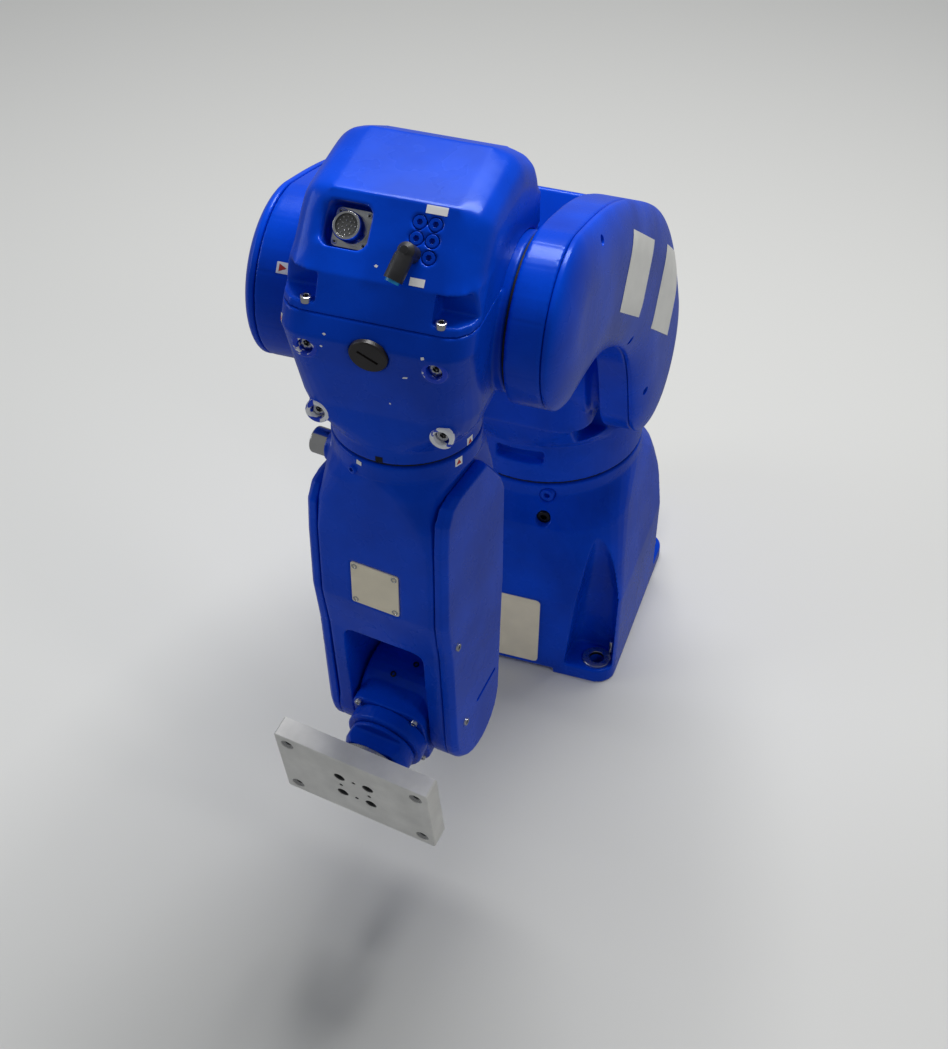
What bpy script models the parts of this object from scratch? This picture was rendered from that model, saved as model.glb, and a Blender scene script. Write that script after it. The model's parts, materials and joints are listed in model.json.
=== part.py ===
"""A compact six-axis industrial robot arm, bolted down, leaning forward with its forearm hanging.

Metres, +Z up. The origin is on the slewing axis at the underside of the base, and the arm faces -Y.
Each moving body is drawn straight, in the frame of its own joint, and empties turn it to rest. In the
elbow, forearm and wrist frames -Y runs down the arm towards the tool and +Z is the side with the plates.
"""

import math

import bmesh
import bpy

for old in list(bpy.data.objects):
    bpy.data.objects.remove(old, do_unlink=True)

# Clearances: pieces that touch, the bearing seats of the joints, and the open groove round a joint
TOUCH = 0.0003
SEAT = 0.0003
GROOVE = 0.0025

# Link lengths: shoulder height and offset, lower arm, forearm offset and length, wrist to flange
SHOULDER_HEIGHT = 0.330
SHOULDER_FORWARD = 0.040
LOWER_ARM_LENGTH = 0.345
FOREARM_OFFSET = 0.040
FOREARM_LENGTH = 0.340
FLANGE_REACH = 0.080

# Rest pose in degrees
LOWER_ARM_LEAN = 52.0
FOREARM_DROP = 90.0
FOREARM_ROLL = 8.5
WRIST_BEND = 77.0
FLANGE_TURN = -2.5

# Base casting
BASE_TOP = 0.198
BASE_NECK_RADIUS = 0.0865
FOOT_HALF_WIDTH = 0.101
FOOT_FRONT = 0.115
FOOT_REAR = 0.088
FOOT_CORNER = 0.018
FACE_LEAN = 0.045
FACE_TOP = 0.088
POCKET_WALL = 0.0025
POCKET_INNER = 0.027
POCKET_BACK = 0.019
POCKET_FLOOR = 0.014
POCKET_TOP = 0.178
FOOT_BOLT_X = 0.083
FOOT_BOLT_INSET = 0.017
FOOT_BOLT_HOLE = 0.0068
WASHER_RADIUS = 0.0130
WASHER_THICK = 0.0022
LOCATING_PIN_RADIUS = 0.0024
LOCATING_PIN_HEIGHT = 0.016
UNDERCUT_HALF_WIDTH = 0.046
UNDERCUT_HEIGHT = 0.005
BASE_PLUG_RADIUS = 0.0062
BASE_PLUG_X = 0.0255
BASE_PLUG_HEIGHTS = (0.186, 0.167)
BASE_PLUG_DEPTH = 0.0105
DATA_PLATE_WIDTH = 0.062
DATA_PLATE_HEIGHT = 0.074
DATA_PLATE_LOW = 0.010

# Rear housing of the base, for the cable and air inlets
PANEL_HALF_WIDTH = 0.058
PANEL_LOW = 0.026
PANEL_HIGH = 0.142
PANEL_REACH = 0.150
PANEL_THICK = 0.003
POWER_WIDTH = 0.066
POWER_HEIGHT = 0.034
POWER_WALL = 0.004
INLET_REACH = 0.020
INLET_RISE = 0.024
SIGNAL_RADIUS = 0.016
SIGNAL_X = -0.030
AIR_INLET_RADIUS = 0.0085
AIR_INLET_X = (0.010, 0.036)

# Half width between the joint faces that the lower arm's legs run on, and what stands back from them
JOINT_HALF_WIDTH = 0.0700
HEAD_STEP = 0.008
HOUSING_STEP = 0.006

# Swivel
TURRET_RADIUS = 0.0865
TURRET_HEIGHT = 0.042
HEAD_FOOT = 0.076
HEAD_FRONT = 0.102
HEAD_REAR = 0.068
HEAD_HALF_WIDTH = JOINT_HALF_WIDTH - HEAD_STEP
HEAD_RADIUS = 0.064
SHOULDER_RING_RADIUS = 0.054
SERVICE_COVER_WIDTH = 0.094
SERVICE_COVER_HEIGHT = 0.050
SERVICE_COVER_THICK = 0.008

# Lower arm: a fork whose two legs bow to the rear, joined by a bridge
LEG_THICK = 0.0245
LEG_BOW = 0.0455
SHOULDER_END_RADIUS = 0.068
ELBOW_END_RADIUS = 0.0595
LEG_WAIST = 0.010
COVER_RIM = 0.0030
COVER_DOME = 0.0115
HUB_RADIUS = 0.040
BRIDGE_THICK = 0.030
BRIDGE_LOW = 0.140
BRIDGE_HIGH = 0.300
ELBOW_SWING = 0.130
FOLD_LIMIT = 190.0
CLEAR = 0.0085

# Elbow housing and its top cover, as a profile of (y, z) points
ELBOW_DRUM_RADIUS = 0.0537
ELBOW_HALF_WIDTH = JOINT_HALF_WIDTH - HOUSING_STEP
ELBOW_CHAMFER = 0.018
ELBOW_NECK = 0.0755
ROLL_RING_RADIUS = 0.0514
FRONT_LOW = (-0.034, 0.092)
FRONT_HIGH = (0.027, 0.104)
COVER_SEAM = 0.040
SLOPE_LOW = (0.063, 0.085)
SLOPE_HIGH = (0.102, 0.050)
CROWN_REAR = (0.108, -0.016)
REAR_HIGH = (0.092, -0.046)
REAR_FLAT = -0.046
BOSS_RADIUS = 0.0085
BOSS_BORE = 0.0056
BOSS_BORE_DEPTH = 0.007
BOSS_X = 0.0425
BOSS_HIGH_Y = 0.0175
BOSS_LOW_Y = -0.043
POCKET_SCREW_X = 0.0455
POCKET_SCREW_FLANGE = 0.005
POCKET_DEPTH = 0.021
POCKET_LENGTH = 0.017
SLOTTED_PLUG_RADIUS = 0.0128
SLOTTED_PLUG_Y = 0.0205

# Connector face of the top cover: places are across, then up the slope from its middle
SOCKET_ACROSS = -0.027
SOCKET_UP = 0.0046
SOCKET_WIDTH = 0.031
SOCKET_HEIGHT = 0.029
SOCKET_DEPTH = 0.017
CONNECTOR_RADIUS = 0.0095
AIR_PORT_RADIUS = 0.0044
AIR_PORT_ACROSS = (0.0185, 0.0287)
AIR_PORT_UP = (0.0145, 0.0043, -0.0059)
FITTING_RADIUS = 0.0056
FITTING_STEM = 0.0125
FITTING_REACH = 0.019
COLLAR_RADIUS = 0.0049
COLLAR_LENGTH = 0.004

# Forearm
FOREARM_CORE_HALF = 0.0455
FOREARM_SIDE = 0.0550
FOREARM_FRONT = 0.052
FOREARM_REAR = 0.046
FORK_INNER = 0.0325
FORK_END_RADIUS = 0.037
FORK_DEPTH = 0.091
FORK_START = FOREARM_LENGTH - FORK_DEPTH
FORK_FRONT = 0.045
RIGHT_COVER_TOP = 0.102
LEFT_COVER_TOP = 0.117
WINDOW_SIZE = 0.0375
WINDOW_ABOVE_FORK = 0.059
WINDOW_Y = WINDOW_ABOVE_FORK - FORK_START
WINDOW_THICK = 0.0016
STUB_RADIUS = 0.0095
STUB_Y = -0.103
STUB_Z = 0.018
STUB_REACH = 0.0625

# Wrist, flange and tool plate
WRIST_RADIUS = 0.0365
WRIST_HALF_WIDTH = 0.0300
NOSE_RADIUS = 0.0310
NOSE_FLANGE_HALF = 0.0315
NOSE_START = 0.0385
CAP_RADIUS = 0.0265
CAP_START = 0.0510
CAP_END = 0.0680
CAP_FLAT = 0.0165
FLANGE_RADIUS = 0.0245
FLANGE_THICK = 0.010
PLATE_WIDTH = 0.127
PLATE_HEIGHT = 0.080
PLATE_THICK = 0.016
PLATE_HOLE_PITCH = 0.0238
PLATE_HOLE_RADIUS = 0.0036
PLATE_CORNER_INSET = 0.010


def paint(name, colour, roughness, metallic=0.0):
    material = bpy.data.materials.new(name)
    material.use_nodes = True
    shader = material.node_tree.nodes["Principled BSDF"]
    shader.inputs["Base Color"].default_value = (*colour, 1)
    shader.inputs["Roughness"].default_value = roughness
    shader.inputs["Metallic"].default_value = metallic
    return material


BLUE = paint("blue_enamel", (0.01, 0.05, 0.55), 0.28)
ALUMINIUM = paint("machined_aluminium", (0.78, 0.78, 0.75), 0.38, 1.0)
STEEL = paint("steel", (0.62, 0.61, 0.59), 0.3, 1.0)
BLACK = paint("black_plastic", (0.02, 0.02, 0.022), 0.5)
CYAN = paint("blue_collar", (0.01, 0.25, 0.6), 0.4)
BEIGE = paint("coated_plate", (0.52, 0.47, 0.38), 0.5)


def axis_empty(name, place, parent=None, turn=(0, 0, 0)):
    empty = bpy.data.objects.new(name, None)
    bpy.context.scene.collection.objects.link(empty)
    empty.parent = parent
    empty.location = place
    empty.rotation_euler = [math.radians(angle) for angle in turn]
    return empty


def solid(name, parent, material, shape):
    """Makes a node of a bmesh, shaded smooth between its edges."""
    bmesh.ops.recalc_face_normals(shape, faces=shape.faces)
    mesh = bpy.data.meshes.new(name)
    shape.to_mesh(mesh)
    shape.free()
    mesh.shade_smooth()
    mesh.set_sharp_from_angle(angle=math.radians(30))
    obj = bpy.data.objects.new(name, mesh)
    bpy.context.scene.collection.objects.link(obj)
    obj.parent = parent
    if material:
        mesh.materials.append(material)
    return obj


def helper(parent, shape):
    """A cutter, or a shape to be joined to a node: hidden from renders."""
    obj = solid("helper", parent, None, shape)
    obj.hide_render = True
    obj.display_type = "WIRE"
    return obj


def join(obj, *shapes, parent=None):
    for shape in shapes:
        modifier = obj.modifiers.new("join", "BOOLEAN")
        modifier.operation = "UNION"
        modifier.object = helper(parent or obj.parent, shape)


def cut(obj, *shapes, parent=None):
    for shape in shapes:
        modifier = obj.modifiers.new("cut", "BOOLEAN")
        modifier.operation = "DIFFERENCE"
        modifier.object = helper(parent or obj.parent, shape)


def loft(rings):
    """A closed skin through rings of the same number of points."""
    shape = bmesh.new()
    rows = [[shape.verts.new(point) for point in ring] for ring in rings]
    for low, high in zip(rows, rows[1:]):
        for i in range(len(low)):
            j = (i + 1) % len(low)
            shape.faces.new((low[i], low[j], high[j], high[i]))
    shape.faces.new(rows[0][::-1])
    shape.faces.new(rows[-1])
    return shape


def rounded(width, depth, radius, steps=6):
    """A centred rectangle with round corners, as 4 * (steps + 1) points anticlockwise."""
    radius = min(radius, width / 2 - 1e-5, depth / 2 - 1e-5)
    points = []
    for corner, (side, end) in enumerate(((1, 1), (-1, 1), (-1, -1), (1, -1))):
        for step in range(steps + 1):
            angle = math.radians(90 * corner + 90 * step / steps)
            points.append((side * (width / 2 - radius) + radius * math.cos(angle),
                           end * (depth / 2 - radius) + radius * math.sin(angle)))
    return points


def section(half, front, rear, front_corner, rear_corner, steps=7):
    """A rectangle in x and z, from -rear to front, with elliptic corners given as (x radius, z radius)."""
    points = []
    for corner, (side, end) in enumerate(((1, 1), (-1, 1), (-1, -1), (1, -1))):
        wide, high = front_corner if end > 0 else rear_corner
        wide = min(wide, half - 1e-5)
        high = min(high, (front + rear) / 2 - 1e-5)
        edge = front if end > 0 else -rear
        for step in range(steps + 1):
            angle = math.radians(90 * corner + 90 * step / steps)
            points.append((side * (half - wide) + wide * math.cos(angle),
                           edge - end * high + high * math.sin(angle)))
    return points


def circle(radius, steps=32, across=0.0, along=0.0):
    return [(across + radius * math.cos(2 * math.pi * i / steps),
             along + radius * math.sin(2 * math.pi * i / steps)) for i in range(steps)]


def arc(radius, first, last, steps, across=0.0, along=0.0):
    """Points from angle first to angle last, in radians."""
    return [(across + radius * math.cos(first + (last - first) * i / steps),
             along + radius * math.sin(first + (last - first) * i / steps)) for i in range(steps + 1)]


def moved(outline, first_by, second_by):
    return [(first + first_by, second + second_by) for first, second in outline]


def along_x(outline, low, high):
    return loft([[(x, y, z) for y, z in outline] for x in (low, high)])


def along_y(outline, low, high):
    return loft([[(x, y, z) for x, z in outline] for y in (low, high)])


def along_z(outline, low, high):
    return loft([[(x, y, z) for x, y in outline] for z in (low, high)])


def turned_x(profile, steps=32, y=0.0, z=0.0):
    """A stack of circles on an axis along X; the profile holds (x, radius)."""
    return loft([[(x, py, pz) for py, pz in circle(radius, steps, y, z)] for x, radius in profile])


def turned_y(profile, steps=32, x=0.0, z=0.0):
    return loft([[(px, y, pz) for px, pz in circle(radius, steps, x, z)] for y, radius in profile])


def turned_z(profile, steps=32, x=0.0, y=0.0):
    return loft([[(px, py, z) for px, py in circle(radius, steps, x, y)] for z, radius in profile])


def box(low, high):
    (x0, y0, z0), (x1, y1, z1) = low, high
    return along_z([(x0, y0), (x1, y0), (x1, y1), (x0, y1)], z0, z1)


def bevelled(shape, wanted, width, segments):
    """Rounds the edges for which wanted(first, second) is true."""
    edges = [edge for edge in shape.edges if wanted(edge.verts[0].co, edge.verts[1].co)]
    bmesh.ops.bevel(shape, geom=edges, offset=width, segments=segments, profile=0.5, affect="EDGES")
    return shape


# Joint frames, from the floor up
swivel_axis = axis_empty("swivel_axis", (0, 0, BASE_TOP))
shoulder_axis = axis_empty("shoulder_axis", (0, -SHOULDER_FORWARD, SHOULDER_HEIGHT - BASE_TOP), swivel_axis,
                           (LOWER_ARM_LEAN, 0, 0))
elbow_axis = axis_empty("elbow_axis", (0, 0, LOWER_ARM_LENGTH), shoulder_axis,
                        (FOREARM_DROP - LOWER_ARM_LEAN, 0, 0))
roll_axis = axis_empty("roll_axis", (0, 0, FOREARM_OFFSET), elbow_axis, (0, -FOREARM_ROLL, 0))
bend_axis = axis_empty("bend_axis", (0, -FOREARM_LENGTH, 0), roll_axis, (-WRIST_BEND, 0, 0))
turn_axis = axis_empty("turn_axis", (0, -FLANGE_REACH, 0), bend_axis, (0, -FLANGE_TURN, 0))

# Two sloping faces that carry small pieces: their own frames, with +Z out of the face and +Y up it
slope_angle = math.degrees(math.atan2(SLOPE_LOW[1] - SLOPE_HIGH[1], SLOPE_HIGH[0] - SLOPE_LOW[0]))
connector_face = axis_empty("connector_face", (0, (SLOPE_LOW[0] + SLOPE_HIGH[0]) / 2,
                                               (SLOPE_LOW[1] + SLOPE_HIGH[1]) / 2), elbow_axis,
                            (-slope_angle, 0, 0))
front_rise = (FRONT_HIGH[1] - FRONT_LOW[1]) / (FRONT_HIGH[0] - FRONT_LOW[0])
plug_face = axis_empty("plug_face", (0, SLOTTED_PLUG_Y,
                                     FRONT_LOW[1] + front_rise * (SLOTTED_PLUG_Y - FRONT_LOW[0])),
                       elbow_axis, (math.degrees(math.atan(front_rise)), 0, 0))


def front_face(height):
    """How far forward the flat front face of the base stands at a height."""
    return FOOT_FRONT - FACE_LEAN * height


def bolt_pocket(side, end):
    """Pocket over a foot bolt, pointed at its top: open to the front, or to the side at the rear."""
    if end < 0:
        closed_side, open_side = FOOT_HALF_WIDTH - POCKET_WALL, FOOT_FRONT + 0.02
        bolt = FOOT_FRONT - FOOT_BOLT_INSET
        inner, back = FOOT_BOLT_X - POCKET_INNER, bolt - POCKET_BACK
    else:
        closed_side, open_side = FOOT_REAR - POCKET_WALL, FOOT_HALF_WIDTH + 0.02
        bolt = FOOT_BOLT_X
        inner, back = FOOT_REAR - FOOT_BOLT_INSET - POCKET_INNER, bolt - POCKET_BACK
    rings = []
    for height, narrow, widen, deep, corner in (
        (POCKET_FLOOR, 0.0, 0.0, 0.0, 0.010),
        (0.50 * POCKET_TOP, 0.0, 0.007, 0.001, 0.012),
        (0.84 * POCKET_TOP, 0.0115, 0.0155, 0.006, 0.0085),
        (POCKET_TOP, 0.0215, 0.0195, 0.011, 0.0008),
    ):
        low, high = inner + widen, closed_side - narrow
        depth = open_side - back - deep
        ring = moved(rounded(high - low, depth, corner, 4), (low + high) / 2, open_side - depth / 2)
        if end < 0:
            rings.append([(side * across, -out, height) for across, out in ring])
        else:
            rings.append([(side * out, across, height) for across, out in ring])
    return loft(rings)


def make_base():
    """Casting that rises from a square foot to a round neck, with a deep pocket over each foot bolt."""
    neck = (BASE_NECK_RADIUS, BASE_NECK_RADIUS, BASE_NECK_RADIUS, BASE_NECK_RADIUS)
    sections = (
        (0.0, FOOT_HALF_WIDTH, front_face(0), FOOT_REAR, FOOT_CORNER),
        (FACE_TOP, FOOT_HALF_WIDTH, front_face(FACE_TOP), FOOT_REAR, 0.024),
        (0.63 * BASE_TOP, FOOT_HALF_WIDTH - 0.005, FOOT_FRONT - 0.009, FOOT_REAR, 0.036),
        (0.81 * BASE_TOP, FOOT_HALF_WIDTH - 0.0105, FOOT_FRONT - 0.017, FOOT_REAR, 0.056),
        (0.93 * BASE_TOP, *neck),
        (BASE_TOP - GROOVE / 2, *neck),
    )
    rings = []
    for height, half, front, rear, corner in sections:
        ring = moved(rounded(2 * half, front + rear, corner, 8), 0, (rear - front) / 2)
        rings.append([(x, y, height) for x, y in ring])
    casting = solid("base_casting", None, BLUE, loft(rings))
    panel_outline = moved(rounded(2 * PANEL_HALF_WIDTH, PANEL_HIGH - PANEL_LOW, 0.009, 3), 0,
                          (PANEL_HIGH + PANEL_LOW) / 2)
    join(casting, along_y(panel_outline, FOOT_REAR - 0.04, PANEL_REACH))
    bolts = [(side * FOOT_BOLT_X, y) for side in (-1, 1)
             for y in (FOOT_BOLT_INSET - FOOT_FRONT, FOOT_REAR - FOOT_BOLT_INSET)]
    for x, y in bolts:
        cut(casting, bolt_pocket(math.copysign(1, x), math.copysign(1, y)),
            along_z(circle(FOOT_BOLT_HOLE, 16, x, y), -0.01, POCKET_FLOOR + 0.01))
    cut(casting, box((-UNDERCUT_HALF_WIDTH, -FOOT_FRONT - 0.01, -0.01),
                     (UNDERCUT_HALF_WIDTH, -FOOT_FRONT + 0.010, UNDERCUT_HEIGHT)))
    for x, y in bolts:
        name = f"foot_washer_{'front' if y < 0 else 'rear'}_{'right' if x > 0 else 'left'}"
        washer = along_z(circle(WASHER_RADIUS, 24, x, y), POCKET_FLOOR + TOUCH, POCKET_FLOOR + WASHER_THICK)
        ring = solid(name, None, STEEL, washer)
        cut(ring, along_z(circle(FOOT_BOLT_HOLE, 16, x, y), 0, POCKET_FLOOR + 0.01))
    pin_shift = (WASHER_RADIUS + LOCATING_PIN_RADIUS + 0.0006) / math.sqrt(2)
    solid("locating_pin", None, STEEL,
          turned_z(((POCKET_FLOOR + TOUCH, LOCATING_PIN_RADIUS),
                    (POCKET_FLOOR + LOCATING_PIN_HEIGHT - 0.001, LOCATING_PIN_RADIUS),
                    (POCKET_FLOOR + LOCATING_PIN_HEIGHT, LOCATING_PIN_RADIUS - 0.0008)), 14,
                   FOOT_BOLT_X + pin_shift, FOOT_BOLT_INSET - FOOT_FRONT + pin_shift))
    plug_seat = BASE_PLUG_DEPTH - BASE_NECK_RADIUS
    for number, height in enumerate(BASE_PLUG_HEIGHTS):
        cut(casting, turned_y(((-FOOT_FRONT - 0.005, BASE_PLUG_RADIUS + TOUCH),
                               (plug_seat, BASE_PLUG_RADIUS + TOUCH)), 20, BASE_PLUG_X, height))
        face = -BASE_NECK_RADIUS + 0.0015 - 0.0075 * number
        plug = solid(f"base_plug_{('upper', 'lower')[number]}", None, STEEL,
                     turned_y(((plug_seat - TOUCH, BASE_PLUG_RADIUS), (face + 0.003, BASE_PLUG_RADIUS),
                               (face + 0.002, BASE_PLUG_RADIUS - 0.001)), 20, BASE_PLUG_X, height))
        cut(plug, turned_y(((face - 0.01, 0.0022), (face + 0.005, 0.0022)), 6, BASE_PLUG_X, height))
    plate_outline = moved(rounded(DATA_PLATE_WIDTH, DATA_PLATE_HEIGHT, 0.004, 3), 0,
                          DATA_PLATE_LOW + DATA_PLATE_HEIGHT / 2)
    solid("data_plate", None, BEIGE, loft([[(x, -front_face(z) - out, z) for x, z in plate_outline]
                                           for out in (TOUCH, 0.0012)]))
    make_inlets()


def make_inlets():
    """Sheet panel on the rear housing with a power inlet, a signal inlet and two plugged air inlets."""
    outline = moved(rounded(2 * PANEL_HALF_WIDTH - 0.006, PANEL_HIGH - PANEL_LOW - 0.006, 0.007, 3), 0,
                    (PANEL_HIGH + PANEL_LOW) / 2)
    seat = PANEL_REACH + TOUCH
    face = seat + PANEL_THICK
    solid("inlet_panel", None, STEEL, along_y(outline, seat, face))
    middle = (PANEL_HIGH + PANEL_LOW) / 2
    shell = solid("power_inlet", None, BLACK,
                  along_y(moved(rounded(POWER_WIDTH, POWER_HEIGHT, POWER_WALL, 2), 0, middle + INLET_RISE),
                          face + TOUCH, face + INLET_REACH))
    inside = rounded(POWER_WIDTH - 2 * POWER_WALL, POWER_HEIGHT - 2 * POWER_WALL, POWER_WALL - 0.001, 2)
    cut(shell, along_y(moved(inside, 0, middle + INLET_RISE), face + 1.5 * POWER_WALL,
                       face + 1.5 * INLET_REACH))
    barrel = SIGNAL_RADIUS - 0.0035
    ring = solid("signal_inlet", None, STEEL,
                 turned_y(((face + TOUCH, SIGNAL_RADIUS), (face + 0.004, SIGNAL_RADIUS), (face + 0.004, barrel),
                           (face + INLET_REACH - 0.004, barrel)), 24, SIGNAL_X, middle - INLET_RISE))
    cut(ring, turned_y(((face + 0.005, barrel - 0.0025), (face + 1.5 * INLET_REACH, barrel - 0.0025)), 20,
                       SIGNAL_X, middle - INLET_RISE))
    for side, x in zip(("left", "right"), AIR_INLET_X):
        plug = AIR_INLET_RADIUS - 0.002
        port = solid(f"air_inlet_{side}", None, STEEL,
                     turned_y(((face + TOUCH, AIR_INLET_RADIUS), (face + 0.006, AIR_INLET_RADIUS),
                               (face + 0.006, plug), (face + 0.010, plug)), 20, x, middle - INLET_RISE))
        cut(port, turned_y(((face + 0.007, plug / 2), (face + 0.03, plug / 2)), 6, x, middle - INLET_RISE))


def make_swivel():
    """Round turret and the head between the lower arm's legs, with the shoulder bearings' rings."""
    rise = SHOULDER_HEIGHT - BASE_TOP
    sections = (
        (GROOVE / 2, TURRET_RADIUS, TURRET_RADIUS, TURRET_RADIUS, TURRET_RADIUS),
        (TURRET_HEIGHT, TURRET_RADIUS, TURRET_RADIUS, TURRET_RADIUS, TURRET_RADIUS),
        (TURRET_HEIGHT + 0.010, HEAD_HALF_WIDTH + 0.008, TURRET_RADIUS + 0.004, TURRET_RADIUS - 0.006, 0.050),
        (HEAD_FOOT, HEAD_HALF_WIDTH, HEAD_FRONT, HEAD_REAR, 0.026),
        (rise, HEAD_HALF_WIDTH, HEAD_FRONT, HEAD_REAR, 0.020),
    )
    rings = []
    for height, half, front, rear, corner in sections:
        ring = moved(rounded(2 * half, front + rear, corner, 8), 0, (rear - front) / 2)
        rings.append([(x, y, height) for x, y in ring])
    housing = solid("swivel_housing", swivel_axis, BLUE, loft(rings))
    head = turned_x(((-JOINT_HALF_WIDTH, SHOULDER_RING_RADIUS), (-HEAD_HALF_WIDTH, SHOULDER_RING_RADIUS + 0.003),
                     (-HEAD_HALF_WIDTH + 0.003, HEAD_RADIUS), (HEAD_HALF_WIDTH - 0.003, HEAD_RADIUS),
                     (HEAD_HALF_WIDTH, SHOULDER_RING_RADIUS + 0.003), (JOINT_HALF_WIDTH, SHOULDER_RING_RADIUS)),
                    40, -SHOULDER_FORWARD, rise)
    hub = turned_z(((-GROOVE / 2 + SEAT, 0.060), (TURRET_HEIGHT / 2, 0.060)), 32)
    join(housing, head, hub)
    for side in (-1, 1):
        near = side * (HEAD_HALF_WIDTH - 0.014)
        far = side * (HEAD_HALF_WIDTH + 0.010)
        cut(housing, box((min(near, far), -0.110, 0.052), (max(near, far), -0.052, 0.076)))
    cut(housing, box((-0.021, -0.110, 0.022), (0.021, -TURRET_RADIUS + 0.010, 0.035)))
    outline = moved(rounded(SERVICE_COVER_WIDTH, SERVICE_COVER_HEIGHT, 0.010, 3), 0,
                    HEAD_FOOT + SERVICE_COVER_HEIGHT / 2 + 0.001)
    back = HEAD_REAR + SERVICE_COVER_THICK
    solid("swivel_rear_cover", swivel_axis, BLUE,
          bevelled(along_y(outline, HEAD_REAR + TOUCH, back), lambda a, b: min(a.y, b.y) > back - 1e-4,
                   0.0025, 2))


def bow(share):
    """How far the middle of a leg stands to the rear at a share of its length, and its slope there."""
    rise, turn = 0.0, 0.0
    for wave, size in ((1, 1.11), (2, 0.077), (3, 0.075)):
        rise += LEG_BOW * size * math.sin(wave * math.pi * share)
        turn += LEG_BOW * size * wave * math.pi * math.cos(wave * math.pi * share)
    return rise, math.atan2(turn, LOWER_ARM_LENGTH)


def leg_outline(shrink=0.0, steps=12, ends=10):
    """Side outline of a leg as (y, z): a band that bows to the rear between two round ends."""
    front, rear = [], []
    for i in range(steps + 1):
        share = i / steps
        y, slope = bow(share)
        half = (SHOULDER_END_RADIUS + (ELBOW_END_RADIUS - SHOULDER_END_RADIUS) * share
                - LEG_WAIST * math.sin(math.pi * share) - shrink)
        z = LOWER_ARM_LENGTH * share
        rear.append((y + half * math.cos(slope), z - half * math.sin(slope)))
        front.append((y - half * math.cos(slope), z + half * math.sin(slope)))
    top_slope = -bow(1.0)[1]
    top = arc(ELBOW_END_RADIUS - shrink, top_slope, top_slope + math.pi, ends, 0, LOWER_ARM_LENGTH)
    low_slope = bow(0.0)[1]
    foot = arc(SHOULDER_END_RADIUS - shrink, math.pi - low_slope, 2 * math.pi - low_slope, ends)
    return rear[:-1] + top[:-1] + front[::-1][:-1] + foot[:-1]


def bridge_outline():
    """Rear web between the legs, just inside their rear edge, as (y, z)."""
    edge = [point for point in leg_outline(0.002, 24) if point[0] > 0.03
            and BRIDGE_LOW <= point[1] <= BRIDGE_HIGH]
    return edge + [(y - BRIDGE_THICK, z) for y, z in reversed(edge)]


def make_lower_arm():
    """Two bowed legs joined by a web, bearing rings on the inner faces, a domed cover on each leg."""
    inner = JOINT_HALF_WIDTH + GROOVE
    outer = inner + LEG_THICK
    leg = leg_outline()
    casting = solid("lower_arm_casting", shoulder_axis, BLUE, along_x(leg, inner, outer))
    join(casting, along_x(leg, -outer, -inner))
    join(casting, along_x(bridge_outline(), -inner - 0.006, inner + 0.006))
    cut(casting, turned_x(((-JOINT_HALF_WIDTH, ELBOW_SWING), (JOINT_HALF_WIDTH, ELBOW_SWING)), 40, 0,
                          LOWER_ARM_LENGTH))
    folded = axis_empty("folded", (0, 0, LOWER_ARM_LENGTH), shoulder_axis, (-FOLD_LIMIT, 0, 0))
    cut(casting, box((-inner + TOUCH, -FOREARM_LENGTH, 0),
                     (inner - TOUCH, 0, FOREARM_OFFSET + FOREARM_FRONT + CLEAR)), parent=folded)
    for side in (-1, 1):
        for z in (0, LOWER_ARM_LENGTH):
            join(casting, turned_x(sorted(((side * (JOINT_HALF_WIDTH + SEAT), HUB_RADIUS),
                                           (side * (inner + 0.004), HUB_RADIUS))), 28, 0, z))
    for side, name in ((1, "lower_arm_right_cover"), (-1, "lower_arm_left_cover")):
        rings = []
        for out, shrink in ((TOUCH, 0.0005), (0.0010, 0.0), (COVER_RIM, 0.0), (COVER_RIM + 0.30 * COVER_DOME, 0.0035),
                            (COVER_RIM + 0.62 * COVER_DOME, 0.0125), (COVER_RIM + 0.88 * COVER_DOME, 0.025),
                            (COVER_RIM + COVER_DOME, 0.039)):
            rings.append([(side * (outer + out), y, z) for y, z in leg_outline(shrink)])
        solid(name, shoulder_axis, BLUE, loft(rings))


def chain_edge(a, b):
    """True on an edge of the elbow's end faces that lies on the side of the plates or on top."""
    at_end = abs(abs(a.x) - ELBOW_HALF_WIDTH) < 1e-5 and abs(a.x - b.x) < 1e-5
    flat = abs(a.y - b.y) < 1e-5 and abs(a.z - b.z) > 0.05
    rear = max(a.z, b.z) < REAR_FLAT + 1e-4
    return at_end and not flat and not rear


def band_rise():
    """Slope of the band between the front face and the connector face."""
    return (FRONT_HIGH[1] - SLOPE_LOW[1]) / (SLOPE_LOW[0] - FRONT_HIGH[0])


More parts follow.
